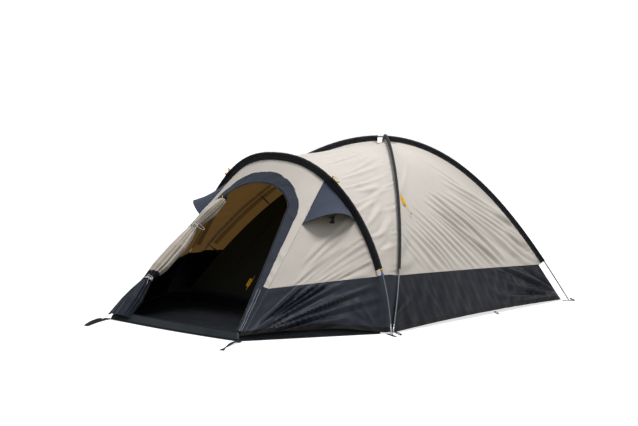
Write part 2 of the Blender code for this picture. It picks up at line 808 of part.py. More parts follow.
def seam_side_out(side):
    """The level direction that the seams beside the door face."""
    return flat(vec(side, -0.2, 0))


def front_roof():
    """The light panel from the hoop back to the crossing poles."""
    right, left = roof_half(RIGHT), roof_half(LEFT)
    top = HOOP.ridge(0.0, web_side(HOOP, vec(0, 1, 0))), HOOP.outward(0.0)
    crown = lerp_pair(right[-1][1], left[-1][1], 0.5)
    columns = [*right, (top, crown), *left[::-1]]
    shares = [i / ROOF_ROWS for i in range(ROOF_ROWS + 1)]
    grid = np.array([[lerp(near[0], far[0], share) for near, far in columns] for share in shares])
    out = facing(surface_normals(grid), UP)
    out[0] = [near[1] for near, _ in columns]
    out[-1] = [far[1] for _, far in columns]
    for column, side in ((0, RIGHT), (-1, LEFT)):
        out[:, column] = seam_side_out(side)
        grid[:, column] += UP * SEAM_GAP / 2
    sheet("fly_front_roof", grid, out, light_cloth())


# Porch cloth


def porch_corner(side):
    return vec(side * PORCH_HALF, PORCH_Y, 0.0)


SEAM_TOP_U = hoop_stations()[SEAM_TOP_STATION + 1]
SEAM_TOP = abs(HOOP.ridge(SEAM_TOP_U, 0)[0])


def front_surface(x, v):
    """The porch's front cloth: v runs from the ground line (0) to the hoop (1), x is sideways."""
    share = x / lerp(PORCH_HALF, SEAM_TOP, v)
    hoop_u = -share * SEAM_TOP_U
    low = vec(share * PORCH_HALF, PORCH_Y, 0.0)
    return lerp(low, HOOP.ridge(hoop_u, web_side(HOOP, vec(0, -1, 0))), v)


def seam_x(v):
    """The sideways place of the seam between the porch's front and side, at a share of the slope."""
    return lerp(PORCH_HALF, SEAM_TOP, v) + SEAM_BULGE * 6.75 * v * (1 - v) ** 2


SLOPE = float(np.linalg.norm(front_surface(0.0, 1.0) - front_surface(0.0, 0.0)))


def seam_point(side, v):
    return front_surface(side * seam_x(v), v)


def v_at_height(height):
    """The share of the seam's run at which it has this height."""
    low, high = 0.0, 1.0
    for _ in range(40):
        v = (low + high) / 2
        if seam_point(RIGHT, v)[2] < height:
            low = v
        else:
            high = v
    return (low + high) / 2


def door_plane_normal():
    """The outward direction of the porch's front cloth."""
    across = front_surface(PORCH_HALF / 2, 0.5) - front_surface(-PORCH_HALF / 2, 0.5)
    up_slope = front_surface(0.0, 1.0) - front_surface(0.0, 0.0)
    n = unit(np.cross(across, up_slope))
    return n if n[1] < 0 else -n


FRONT_NORMAL = door_plane_normal()


def side_normal(side):
    """The porch side's outward direction on plan."""
    along = foot(side, FRONT_Y) - porch_corner(side)
    n = unit(np.cross(along, UP))
    return n if n[0] * side > 0 else -n


def seam_direction(side):
    """The outward direction along the seam between the porch's front and its side."""
    return unit(FRONT_NORMAL + unit(side_normal(side) + 0.5 * UP))


DOOR_ARCH = (DOOR_ARCH_HALF_WIDTH, DOOR_ARCH_SPRING, DOOR_ARCH_RISE, DOOR_FOOT_HALF_WIDTH)
FRAME_ARCH = (FRAME_ARCH_HALF_WIDTH, FRAME_ARCH_SPRING, FRAME_ARCH_RISE, FRAME_FOOT_HALF_WIDTH)


def arch_half_width(v, half_width, spring, rise, foot_half_width):
    """The half width of the door's arch, or of its frame's, at a share v of the slope."""
    s = v * SLOPE
    if s >= spring:
        return half_width * math.sqrt(max(0.0, 1 - ((s - spring) / rise) ** 2))
    return lerp(foot_half_width, half_width, s / spring)


LEG_STEPS = SEAM_TOP_STATION + 1
ARC_STEPS = HOOP_SLEEVE_STEPS - SEAM_TOP_STATION
ARCH_STEPS = 2 * ARC_STEPS


def arch_line(half_width, spring, rise, foot_half_width, low_v):
    """Points (x, v) up the right leg, over the arch and down the left leg."""
    right = []
    for k in range(LEG_STEPS):
        v = lerp(low_v, spring / SLOPE, k / LEG_STEPS)
        right.append((arch_half_width(v, half_width, spring, rise, foot_half_width), v))
    arch = []
    for k in range(ARCH_STEPS + 1):
        a = math.pi * k / ARCH_STEPS
        arch.append((half_width * math.cos(a), (spring + rise * math.sin(a)) / SLOPE))
    return right + arch + [(-x, v) for x, v in reversed(right)]


def grown_line(arch, low_v, grow=0.0):
    """An arch's line, set outwards by a distance."""
    half_width, spring, rise, foot_half_width = arch
    return arch_line(half_width + grow, spring, rise + grow, foot_half_width + grow, low_v)


def on_front(line):
    return np.array([front_surface(x, v) for x, v in line])


def door_trim_and_zip():
    """The slate frame round the door opening, and the zip along its inner edge."""
    low = DOOR_SILL_HEIGHT / PEAK_SHARE
    inner, outer = on_front(grown_line(DOOR_ARCH, low)), on_front(grown_line(FRAME_ARCH, low))
    grid = np.array([lerp(inner, outer, k / 2) for k in range(3)])
    out = np.broadcast_to(FRONT_NORMAL, grid.shape).copy()
    sheet("door_frame_trim", grid, out, slate_cloth())
    zip_outer = on_front(grown_line(DOOR_ARCH, low, -GAP))
    zip_inner = on_front(grown_line(DOOR_ARCH, low, -GAP - ZIP_WIDTH))
    grid = np.array([zip_inner, zip_outer])
    out = np.broadcast_to(FRONT_NORMAL, grid.shape).copy()
    sheet("door_zip", grid, out, webbing(), ZIP_THICKNESS)


PEAK_SHARE = front_surface(0.0, 1.0)[2]


def hoop_edge(side, station, forward=True):
    """A point and a direction on the cloth's edge at one of the hoop's stations."""
    u = -side * hoop_stations()[station]
    web = web_side(HOOP, vec(0, -1 if forward else 1, 0))
    return HOOP.ridge(u, web), HOOP.outward(u)


VENT_HEIGHT = hoop_edge(RIGHT, VENT_STATION + 1)[0][2]


def side_row_heights():
    """The heights of the porch side's rows, as pairs on the seam and on the hoop."""
    pairs = []
    for station in range(VENT_STATION + 2):
        rear = hoop_edge(RIGHT, station)[0][2]
        share = (rear - SEAM_FRONT_CORNER) / (VENT_HEIGHT - SEAM_FRONT_CORNER)
        pairs.append((lerp(SEAM_PORCH_CORNER, VENT_HEIGHT, share), rear))
    return pairs


def vent_row_heights():
    """The heights of the vent's rows, from the vent line to just under its top corner."""
    heights = [hoop_edge(RIGHT, station)[0][2] for station in range(VENT_STATION + 1, SEAM_TOP_STATION + 2)]
    heights[-1] = lerp(heights[-2], heights[-1], 0.75)
    return [(z, z) for z in heights]


def front_panel():
    """The light cloth between the door frame and the porch's edges, above the skirt."""
    seam_v = v_at_height(SEAM_PORCH_CORNER)
    inner = on_front(grown_line(FRAME_ARCH, seam_v, SEAM_GAP))
    leg_heights = [front for front, _ in side_row_heights() + vent_row_heights()[1:-1]]
    leg_shares = [v_at_height(z) for z in leg_heights] + [1.0]
    shift = vec(-SEAM_GAP, 0, 0)
    right = [(seam_point(RIGHT, v) + shift, seam_direction(RIGHT)) for v in leg_shares]
    left = [(seam_point(LEFT, v) - shift, seam_direction(LEFT)) for v in leg_shares]
    arc = [hoop_edge(RIGHT, station) for station in range(SEAM_TOP_STATION + 2, HOOP_SLEEVE_STEPS + 1)]
    arc += [hoop_edge(LEFT, station) for station in range(HOOP_SLEEVE_STEPS + 1, SEAM_TOP_STATION + 1, -1)]
    edge = [*right, *arc, *left[::-1]]
    outer = np.array([p for p, _ in edge])
    grid = np.array([lerp(inner, outer, k / 2) for k in range(3)])
    out = np.broadcast_to(FRONT_NORMAL, grid.shape).copy()
    out[-1] = [n for _, n in edge]
    for column in (0, -1):
        out[:, column] = flat(FRONT_NORMAL)
        grid[:, column] += UP * SEAM_GAP / 2
    sheet("porch_front_panel", grid, out, light_cloth())


def hoop_point(side, height):
    """A point of the cloth's edge in front of the hoop's web, at a height, and its direction."""
    u = HOOP.u_at(height, -side)
    return HOOP.ridge(u, web_side(HOOP, vec(0, -1, 0))), HOOP.outward(u)


def porch_side_row(side, v, hoop_height, columns):
    """One row of the porch's side, from its front seam back to the hoop."""
    a = seam_point(side, v)
    b, _ = hoop_point(side, hoop_height)
    inward = -side_normal(side)
    ts = [j / columns for j in range(columns + 1)]
    return [lerp(a, b, t) + inward * PORCH_SAG * 4 * t * (1 - t) for t in ts]


def porch_side_grid(side, heights):
    """Rows of the porch's side at pairs of heights on the seam and on the hoop."""
    return np.array([porch_side_row(side, v_at_height(zf), zr, PORCH_COLUMNS) for zf, zr in heights])


def porch_side_out(grid, side):
    out = facing(surface_normals(grid), side_normal(side))
    out[:, 0] = seam_direction(side)
    return out


def porch_side_rows(side, heights):
    """A grid of the porch's side at pairs of heights, and its outward directions."""
    grid = porch_side_grid(side, heights)
    out = porch_side_out(grid, side)
    out[:, -1] = [hoop_point(side, rear)[1] for _, rear in heights]
    return grid, out


def level_row(out, row, side):
    """Turns a row's directions level, so that the next piece fits below or above it."""
    out[row] = [flat(n) for n in out[row]]
    out[row, 1:-1] = side_normal(side)


def porch_side(side, name):
    """The light cloth of the porch's side, up to the vent."""
    grid, out = porch_side_rows(side, side_row_heights())
    level_row(out, 0, side)
    level_row(out, -1, side)
    grid[0] += UP * SEAM_GAP / 2
    grid[-1] -= UP * SEAM_GAP / 2
    sheet(f"porch_side_{name}", grid, out, light_cloth())


def vent_mesh(side, name):
    """The net window above the porch's side, under the hood."""
    grid, out = porch_side_rows(side, vent_row_heights())
    level_row(out, 0, side)
    grid[0] += UP * SEAM_GAP / 2
    sheet(f"vent_mesh_{name}", grid, out, mesh_cloth())


def porch_skirt(side, name):
    """The dark cloth round the porch: a strip beside the door frame, the side, and behind the hoop."""
    seam_v = v_at_height(SEAM_PORCH_CORNER)
    hem_v = v_at_height(HEM_PORCH_CORNER)
    arch, sign = ridge_of(side, "front")
    web = web_side(arch, vec(0, -1, 0))
    hoop_web = web_side(HOOP, vec(0, -1, 0))
    pole_us = [arch.u_at(z, sign) for z in (HEM_FRONT_CORNER, SEAM_FRONT_CORNER)]
    hoop_us = [HOOP.u_at(z, -side) for z in (HEM_FRONT_CORNER, SEAM_FRONT_CORNER)]
    pole_low, pole_high = (arch.ridge(u, web) for u in pole_us)
    hoop_low, hoop_high = (HOOP.ridge(u, hoop_web) for u in hoop_us)
    outward = unit(side_normal(side) + 0.35 * UP)
    grid, out = [], []
    for i in range(PORCH_SKIRT_ROWS + 1):
        k = i / PORCH_SKIRT_ROWS
        v = lerp(hem_v, seam_v, k)
        x = arch_half_width(v, *FRAME_ARCH)
        front, rear = seam_point(side, v), lerp(hoop_low, hoop_high, k)
        row = [front_surface(side * (x + SEAM_GAP), v)]
        for j in range(PORCH_COLUMNS + 1):
            t = j / PORCH_COLUMNS
            arc = 4 * t * (1 - t)
            lift = UP * HEM_PORCH_LIFT * arc * (1 - k)
            row.append(lerp(front, rear, t) + lift - side_normal(side) * PORCH_SAG * arc * k)
        row += [lerp(rear, lerp(pole_low, pole_high, k), j / ROOF_ROWS) for j in range(1, ROOF_ROWS + 1)]
        grid.append(row)
        gusset = unit(seam_side_out(side) + 0.35 * UP)
        out.append([FRONT_NORMAL, seam_direction(side)] + [outward] * PORCH_COLUMNS + [gusset] * ROOF_ROWS)
    grid, out = np.array(grid), np.array(out)
    out[-1] = [flat(n) for n in out[-1]]
    out[-1, 2:PORCH_COLUMNS + 1] = side_normal(side)
    grid[-1] -= UP * SEAM_GAP / 2
    sheet(f"skirt_porch_{name}", grid, out, dark_cloth())


def vent_hood(side, name):
    """The stiffened hood over a vent, sewn along the seam and along the hoop."""
    top = seam_point(side, 1.0)[2] - VENT_HOOD_DROP
    outward = side_normal(side)
    grid = []
    for i in range(HOOD_ROWS + 1):
        k = i / HOOD_ROWS
        front = seam_point(side, v_at_height(lerp(top, VENT_LOW_FRONT, k)))
        rear, _ = hoop_point(side, lerp(top, VENT_LOW_REAR, k))
        row = []
        for j in range(HOOD_COLUMNS + 1):
            t = j / HOOD_COLUMNS
            bulge = math.sin(math.pi * t) ** 0.8 if 0 < t < 1 else 0.0
            stand = VENT_HOOD_CLEARANCE + VENT_HOOD_REACH * bulge * k
            lift = VENT_HOOD_LIFT * bulge * k ** 2
            row.append(lerp(front, rear, t) + outward * stand + UP * lift)
        grid.append(row)
    grid = np.array(grid)
    along = flat(grid[0, -1] - grid[0, 0])
    grid[:, 0] += along * VENT_HOOD_SEAM_INSET
    grid[:, -1] -= along * VENT_HOOD_HOOP_INSET
    out = facing(surface_normals(grid), unit(outward + UP))
    sheet(f"vent_hood_{name}", grid, out, slate_cloth(), VENT_HOOD_THICKNESS)
    return grid


def vent_strut(side, name, hood):
    """The stiff strap that holds a hood open: hinged at the hood's edge, its pad on the porch's side."""
    outward = side_normal(side)
    along = unit(foot(side, FRONT_Y) - porch_corner(side))
    middle = hood.shape[1] // 2
    up_hood = unit(hood[-2, middle] - hood[-1, middle])
    inner_side = unit(np.cross(up_hood, along))
    inner_side = inner_side if inner_side @ outward < 0 else -inner_side
    edge = hood[-1, middle] + up_hood * STRUT_SEAM + inner_side * (GAP + STRUT_THICKNESS / 2 + STRUT_DROP)
    row = porch_side_row(side, v_at_height(STRUT_PAD_HEIGHT), STRUT_PAD_HEIGHT, PORCH_COLUMNS)
    pad = row[PORCH_COLUMNS // 2] + outward * (CLOTH + STRUT_THICKNESS / 2 + STRUT_PAD_STAND)
    direction = unit(pad - edge)
    lower = pad - direction * STRUT_PAD
    step = STRUT_THICKNESS / 2
    path = [edge, lerp(edge, lower, 0.5), lower, lower + direction * step, pad]
    obj = box_sweep(f"vent_strut_{name}", path, along, STRUT_WIDTH, STRUT_THICKNESS, webbing())
    for v in obj.data.vertices:
        place = np.array(v.co)
        if (place - lower) @ direction > step / 2:
            v.co = Vector(place + along * ((place - lower) @ along) * (STRUT_PAD / STRUT_WIDTH - 1))
    set_origin(obj, edge)
    print(f"vent strut {name}: hinge at {np.round(edge, 4)}, axis {np.round(along, 4)}")


def porch():
    door_trim_and_zip()
    front_panel()
    for side, name in ((RIGHT, "right"), (LEFT, "left")):
        porch_side(side, name)
        porch_skirt(side, name)
        vent_mesh(side, name)
        hood = vent_hood(side, name)
        vent_strut(side, name, hood)


# Inner tent and groundsheets


def inner_ridge(side, end, w):
    """A point of the inner tent's ridge: w is 1 at the floor's corner and 0 at the peak."""
    peak = PEAK - UP * INNER_PEAK_DROP
    corner = vec(side * INNER_WIDTH / 2, PEAK[1] + end * INNER_LENGTH / 2, TUB_WALL + GAP)
    plan = lerp(peak, corner, w)
    return vec(plan[0], plan[1], lerp(peak[2], corner[2], w ** INNER_ROUNDNESS))


def inner_levels():
    """The w values of the inner tent's rows, from the top down."""
    return [lerp(INNER_TOP_SHARE, 1.0, k / INNER_LEVELS) for k in range(INNER_LEVELS + 1)]


def inner_faces():
    """The inner tent's corners in order round it, starting with the front face."""
    corners = [(LEFT, -1), (RIGHT, -1), (RIGHT, 1), (LEFT, 1)]
    return list(zip(corners, corners[1:] + corners[:1]))


def inner_face_point(face, w, t):
    (side_a, end_a), (side_b, end_b) = inner_faces()[face]
    a, b = inner_ridge(side_a, end_a, w), inner_ridge(side_b, end_b, w)
    middle = lerp(a, b, 0.5)
    inward = flat(vec(0, PEAK[1], 0) - middle)
    return lerp(a, b, t) + inward * INNER_SAG * 4 * t * (1 - t) * 4 * w * (1 - w)


def door_cell(i, j):
    """Whether a cell of the inner tent's front face belongs to its door."""
    return INNER_DOOR_TOP_ROW <= i < INNER_LEVELS - 1 and 1 <= j < INNER_COLUMNS - 1


def inner_grid():
    rows = []
    shares = [j / INNER_COLUMNS for j in range(INNER_COLUMNS)]
    for w in inner_levels():
        rows.append([inner_face_point(face, w, t) for face in range(4) for t in shares])
    return np.array(rows)


def inner_outward(grid):
    """Outward directions of the inner tent's grid, level along its foot."""
    centre = vec(0, PEAK[1], 0)
    out = surface_normals(grid, wraps=True)
    turn = np.sum(out * (grid - centre), axis=2, keepdims=True)
    out = np.where(turn > 0, out, -out)
    out[-1] = [flat(n) for n in out[-1]]
    return out


def inner_tent():
    grid = inner_grid()
    out = inner_outward(grid)
    holes = [(i, j) for i in range(INNER_LEVELS) for j in range(INNER_COLUMNS) if door_cell(i, j)]
    sheet("inner_tent", grid, -out, inner_cloth(), INNER_CLOTH, wraps=True, holes=holes, capped=True)
    rows = slice(INNER_DOOR_TOP_ROW, INNER_LEVELS)
    columns = slice(1, INNER_COLUMNS)
    door, door_out = grid[rows, columns].copy(), out[rows, columns]
    for line in door:
        across = unit(line[-1] - line[0])
        line[0] += across * INNER_DOOR_GAP
        line[-1] -= across * INNER_DOOR_GAP
    for j in range(door.shape[1]):
        down = unit(door[-1, j] - door[0, j])
        door[0, j] += down * INNER_DOOR_GAP
        door[-1, j] -= down * INNER_DOOR_GAP
    sheet("inner_door", door, -door_out, inner_cloth(), INNER_CLOTH)


def tray(name, outline, rim, rim_heights, finish):
    """A groundsheet with raised edges: its base outline, its rim's outline and the rim's heights."""
    count = len(outline)
    centre = np.mean(outline, axis=0)
    base = [vec(*p, 0) for p in outline]
    top = [vec(*p, h) for p, h in zip(rim, rim_heights)]
    inner_top, inner_base = [], []
    for p, q, h in zip(outline, rim, rim_heights):
        pull = lerp(np.asarray(q), centre, SHEET_THICKNESS * 1.5 / np.linalg.norm(centre - q))
        inner_top.append(vec(*pull, h))
        pull = lerp(np.asarray(p), centre, SHEET_THICKNESS * 2.5 / np.linalg.norm(centre - p))
        inner_base.append(vec(*pull, SHEET_THICKNESS))
    points = base + top + inner_top + inner_base
    faces = [tuple(reversed(range(count))), tuple(range(3 * count, 4 * count))]
    for ring in range(3):
        for j in range(count):
            k = (j + 1) % count
            a, b = ring * count + j, ring * count + k
            if ring == 2:
                faces += [(a, b, a + count), (b, b + count, a + count)]
            else:
                faces += [(a, b, b + count), (a, b + count, a + count)]
    return solid(name, points, faces, finish)


def inner_floor():
    """The inner tent's tub floor, whose walls its cloth is sewn to."""
    half_w, half_l = INNER_WIDTH / 2, INNER_LENGTH / 2
    corners = [np.array([x * half_w, PEAK[1] + y * half_l]) for x, y in ((-1, -1), (1, -1), (1, 1), (-1, 1))]
    tray("inner_floor", corners, corners, [TUB_WALL] * 4, floor_cloth())


def porch_groundsheet():
    """The porch's groundsheet: a raised sill under the door, and raised sides inside the skirt."""
    front = np.array([PORCH_HALF - PORCH_FLOOR_INSET, PORCH_Y + PORCH_FLOOR_INSET])
    side = np.array([HALF_WIDTH - PORCH_SHEET_HOOP_INSET, FRONT_Y - PORCH_FLOOR_INSET])
    rear = np.array([INNER_WIDTH / 2, INNER_FRONT - GAP])
    lean = PORCH_WALL_LEAN
    front_rim = front + np.array([-lean, lean])
    side_rim = side + np.array([-lean, lean / 3])
    rear_height = SHEET_THICKNESS + GAP
    right = [(front, front_rim, PORCH_SILL), (side, side_rim, PORCH_WALL), (rear, rear, rear_height)]
    sides = right + [(p * [-1, 1], q * [-1, 1], h) for p, q, h in reversed(right)]
    outline, rim, heights = ([item[k] for item in sides] for k in range(3))
    tray("porch_groundsheet", outline, rim, heights, floor_cloth())


def inner_hook(name, height):
    """A hook and its elastic, from the fly's ridge at the left front down to the inner tent's ridge."""
    arch, sign = ridge_of(LEFT, "front")
    u = arch.u_at(height, sign)
    middle, out = chord_place(arch, sign, u)
    top = middle - out * (arch.depth + HOOK_GAP)
    levels = [inner_ridge(LEFT, -1, w) for w in inner_levels()]
    places = [lerp(a, b, t) for a, b in zip(levels, levels[1:]) for t in np.linspace(0, 1, 60)]
    nearest = min(places, key=lambda q: np.linalg.norm(q - top))
    axis = unit(nearest - top)
    length = np.linalg.norm(nearest - top) - HOOK_GAP
    side = unit(np.cross(axis, UP))
    other = np.cross(axis, side)
    profile = [(0.22, 0.0), (0.67, 0.15), (0.67, 0.35), (1.0, 0.45), (1.0, 0.80), (0.56, 0.88), (0.22, 1.0)]
    rings = [circle(top + axis * length * t, side, other, HOOK_RADIUS * r, POLE_SIDES) for r, t in profile]
    loft(name, rings, moulded_plastic())


# Cords and their hanks


def hank_place(turn, radius, straight):
    """A place on a long oval, as (across, along): two straight sides and two half circles."""
    share = (turn % 1.0) * HANK_POINTS
    bend = HANK_POINTS // 2 - 2
    if share <= 1:
        across, along = radius, straight * share
    elif share <= 1 + bend:
        a = math.pi * (share - 1) / bend
        across, along = radius * math.cos(a), straight + radius * math.sin(a)
    elif share <= 3 + bend:
        across, along = -radius, straight * (2 + bend - share)
    elif share <= 3 + 2 * bend:
        a = math.pi * (share - 3 - bend) / bend
        across, along = -radius * math.cos(a), -straight - radius * math.sin(a)
    else:
        across, along = radius, straight * (share - HANK_POINTS)
    drawn_in = HANK_WAIST * max(0.0, 1 - abs(along) / straight)
    return across - math.copysign(drawn_in, across), along


def hank_route(turns, half_length, half_width, pitch):
    """A hank's windings as (across, along, out) offsets: a spiral in, a layer's climb, a spiral out.

    It arrives and leaves along one side.
    """
    straight = half_length - half_width
    route = [(half_width, -straight, 0.0)]
    for k in range(turns * HANK_POINTS + 1):
        turn = k / HANK_POINTS
        radius = half_width - pitch * min(turn, turns - turn)
        climb = min(1.0, max(0.0, (turn - turns / 2 + 0.25) / 0.5))
        route.append((*hank_place(turn, radius, straight), pitch * climb))
    return route + [(half_width, straight, pitch)]


def least_gap(points, diameter, skip):
    """The least clear distance between stretches of a cord that aren't neighbours."""
    points = np.asarray(points)
    best = math.inf
    for i in range(len(points) - 1):
        a, b = points[i], points[i + 1]
        samples = [lerp(a, b, t) for t in (0, 0.25, 0.5, 0.75)]
        for j in range(i + skip, len(points) - 1):
            c, d = points[j], points[j + 1]
            for p in samples:
                t = min(1.0, max(0.0, (p - c) @ (d - c) / ((d - c) @ (d - c))))
                best = min(best, np.linalg.norm(p - lerp(c, d, t)))
    return best - diameter


def length_of(points):
    return float(sum(np.linalg.norm(b - a) for a, b in zip(points, points[1:])))


def side_panel_place(side, upper, y, z):
    """The outer side of a long side's light cloth above a place, and its outward direction."""
    rows, cols = upper.shape[:2]
    best = None
    quarters = (0.0, 0.25, 0.5, 0.75)
    for i in range(rows - 1):
        for j in range(cols - 1):
            a, b, c, d = upper[i, j], upper[i, j + 1], upper[i + 1, j], upper[i + 1, j + 1]
            n = np.cross(c - a, b - a)
            outward = unit(n) if n[0] * side > 0 else -unit(n)
            for p in (lerp(lerp(a, b, t), lerp(c, d, t), s) for s in quarters for t in quarters):
                gap = math.hypot(p[1] - y, p[2] - z)
                if best is None or gap < best[0]:
                    best = (gap, p, outward)
    _, place, outward = best
    slope = outward[1:] @ np.array([place[1] - y, place[2] - z]) / outward[0]
    return vec(place[0] + slope, y, z) + outward * CLOTH, outward


def hermite(a, b, dir_a, dir_b, count):
    """Points on a smooth bend from a to b, which leaves and arrives in the given directions."""
    reach = np.linalg.norm(b - a)
    points = []
    for k in range(count + 1):
        t = k / count
        points.append(
            a * (2 * t ** 3 - 3 * t ** 2 + 1) + b * (3 * t ** 2 - 2 * t ** 3)
            + dir_a * reach * (t ** 3 - 2 * t ** 2 + t) + dir_b * reach * (t ** 3 - t ** 2)
        )
    return points


def guyline(side, name, upper):
    """A side guyline: from its sleeve down to a hank that lies on the cloth, and a runner on its tail."""
    arch, sign = ridge_of(side, "front")
    u = arch.u_at(GUY_TAB_HEIGHT, sign)
    web = web_side(arch, vec(side, 0, 0))
    radius = CORD_DIAMETER / 2
    start = chord_place(arch, sign, u)[0] + arch.side * web * (SLEEVE_FLAT + GAP + radius)
    middle_z = start[2] - LEAD_LENGTH
    centre, outward = side_panel_place(side, upper, start[1], middle_z)
    along = unit(-UP + outward * (outward @ UP))
    across = np.cross(outward, along)
    across = across if across[1] > 0 else -across
    base = centre + outward * (CORD_LIFT + radius)
    pitch = CORD_DIAMETER + CORD_GAP
    offsets = hank_route(HANK_LOOPS, HANK_LENGTH / 2, HANK_WIDTH / 2, pitch)
    hank = [base + across * a + along * b + outward * c for a, b, c in offsets]
    lead = hermite(start, hank[0], -UP, along, LEAD_STEPS)
    end = hank[-1] + along * TAIL_LENGTH
    path = lead[:-1] + hank + [end]
    round_cord(f"guyline_{name}", path, CORD_DIAMETER, guy_cord())
    gap = least_gap(path, CORD_DIAMETER, 4)
    print(f"guyline {name}: length {length_of(path):.3f} m, least gap to itself {gap * 1000:.2f} mm")
    runner = end - along * (RUNNER_END + RUNNER_LENGTH)
    rings = [(0.0, 0.75), (0.2, 1.0), (0.8, 1.0), (1.0, 0.75)]
    outer, inner = [], []
    for t, r in rings:
        middle = runner + along * RUNNER_LENGTH * t
        outer.append(ellipse(middle, across, outward, RUNNER_WIDTH / 2 * r, RUNNER_THICKNESS / 2 * r))
        inner.append(circle(middle, across, outward, radius + GAP, 8))
    tube_with_bore(f"guyline_runner_{name}", outer, inner, tip_metal())
    obj = bpy.data.objects[f"guyline_runner_{name}"]
    set_origin(obj, runner)
    print(f"guyline runner {name}: slides towards {np.round(-along, 4)}")


def ellipse(centre, x_axis, y_axis, x_radius, y_radius, sides=10):
    angles = [2 * math.pi * k / sides for k in range(sides)]
    return [centre + x_axis * x_radius * math.cos(a) + y_axis * y_radius * math.sin(a) for a in angles]


def hoop_guy_loop(side, name):
    """A cord loop on the outside of the hoop's sleeve, which a guyline ties to."""
    u = HOOP.u_at(HOOP_TAB_HEIGHT, -side)
    middle, out = chord_place(HOOP, -side, u)
    along = np.cross(out, HOOP.side)
    centre = middle + out * (SLEEVE_FLAT + GAP + HOOP_LOOP_RADIUS + CORD_DIAMETER / 2)
    sides = HOOP_LOOP_SIDES
    points, faces = [], []
    for k, p in enumerate(circle(centre, out, along, HOOP_LOOP_RADIUS, HOOP_LOOP_STEPS)):
        points += circle(p, unit(p - centre), HOOP.side, CORD_DIAMETER / 2, sides)
        following = (k + 1) % HOOP_LOOP_STEPS
        for j in range(sides):
            i = (j + 1) % sides
            faces.append((k * sides + j, k * sides + i, following * sides + i, following * sides + j))
    solid(f"hoop_guy_loop_{name}", points, faces, guy_cord(), smooth=True)


def inner_cord_hank():
    """The small hank of cord that hangs on the inner tent's front."""
    above, below = inner_levels()[-2:]
    t = INNER_HANK_COLUMN / INNER_COLUMNS
    high, low = inner_face_point(0, above, t), inner_face_point(0, below, t)
    place = lerp(high, low, INNER_HANK_SHARE)
    down = unit(low - high)
    across = unit(inner_face_point(0, below, t + 1 / INNER_COLUMNS) - low)
    across = unit(across - down * (across @ down))
    outward = np.cross(down, across)
    outward = outward if outward[1] < 0 else -outward
    base = place + outward * (GAP + CORD_DIAMETER / 2)
    pitch = CORD_DIAMETER + CORD_GAP
    offsets = hank_route(INNER_HANK_LOOPS, INNER_HANK_LENGTH / 2, INNER_HANK_WIDTH / 2, pitch)
    path = [base + across * a + down * b + outward * c for a, b, c in offsets]
    path = [path[0] - down * INNER_HANK_TAIL] + path + [path[-1] + down * INNER_HANK_TAIL]
    round_cord("inner_cord_hank", path, CORD_DIAMETER, guy_cord())
    gap = least_gap(path, CORD_DIAMETER, 4)
    print(f"inner cord hank: length {length_of(path):.3f} m, least gap to itself {gap * 1000:.2f} mm")


# Ground anchors, straps and buckles


def plate(name, outline, hole, low, thickness, finish):
    """A flat plate with one hole; the two plan outlines have matching points."""
    rings = []
    for z in (low, low + thickness):
        rings += [[vec(*p, z) for p in outline], [vec(*p, z) for p in hole]]
    points = [p for ring in rings for p in ring]
    count = len(outline)
    faces = []
    for first, second in ((0, 1), (1, 3), (3, 2), (2, 0)):
        for j in range(count):
            k = (j + 1) % count
            faces.append((first * count + j, first * count + k, second * count + k, second * count + j))
    return solid(name, points, faces, finish)


def anchor(side, y_end, name):
    """The webbing tab that a corner's tips stand on, with its peg loop."""
    turn = REAR_ANCHOR_TURN if y_end == "rear" else -math.radians(FRONT_ANCHOR_ANGLE)
    outward = np.array([side * math.cos(turn), math.sin(turn)])
    across = np.array([-outward[1], outward[0]])
    base = foot(side, FRONT_Y if y_end == "front" else REAR_Y)[:2]
    half = WEBBING_WIDTH / 2
    end = base + outward * (ANCHOR_REACH - half)
    inner_end = base - outward * ANCHOR_INWARD
    turns = [math.radians(a) for a in range(-90, 91, 20)]

    def around(a, radius):
        return end + (outward * math.cos(a) + across * math.sin(a)) * radius

    outline = [inner_end + across * half, inner_end - across * half, *(around(a, half) for a in turns)]
    hole = [around(a, PEG_HOLE_RADIUS) for a in (math.radians(145), math.radians(-145), *turns)]
    plate(f"anchor_{name}", outline, hole, 0.0, WEBBING_THICKNESS, webbing())


def porch_strap(side, name):
    """A porch corner's ladder buckle, and the strap that runs forward from it along the ground."""
    forward = vec(math.sin(STRAP_TURN), -math.cos(STRAP_TURN), 0)
    across = vec(math.cos(STRAP_TURN), math.sin(STRAP_TURN), 0)
    hinge = porch_corner(side) + forward * STRAP_STARTS[side]
    origin = hinge + UP * (BUCKLE_THICKNESS / 2)
    lengths = [0, BUCKLE_BAR, BUCKLE_LENGTH / 2 - BUCKLE_BAR / 2, BUCKLE_LENGTH / 2 + BUCKLE_BAR / 2,
               BUCKLE_LENGTH - BUCKLE_BAR, BUCKLE_LENGTH]
    half = BUCKLE_WIDTH / 2
    widths = [-half, -half + BUCKLE_BAR, half - BUCKLE_BAR, half]
    grid = np.array([[hinge + forward * f + across * w for w in widths] for f in lengths])
    out = np.broadcast_to(UP, grid.shape)
    slots = ((1, 1), (3, 1))
    obj = sheet(f"porch_buckle_{name}", grid, out, moulded_plastic(), BUCKLE_THICKNESS, holes=slots)
    set_origin(obj, origin)
    begin = hinge + forward * (BUCKLE_LENGTH + GAP) + UP * WEBBING_THICKNESS / 2
    path = [begin + forward * STRAP_LENGTH * k / STRAP_STEPS for k in range(STRAP_STEPS + 1)]
    strap = box_sweep(f"porch_strap_{name}", path, across, WEBBING_WIDTH, WEBBING_THICKNESS, webbing())
    set_origin(strap, origin)
    print(f"porch strap {name}: hinge {np.round(origin, 4)}, axis {np.round(across, 4)}")


# The open door


def door_edge(side, v):
    """The sideways place of the opening's edge, at a share of the slope."""
    return side * arch_half_width(v, *DOOR_ARCH)


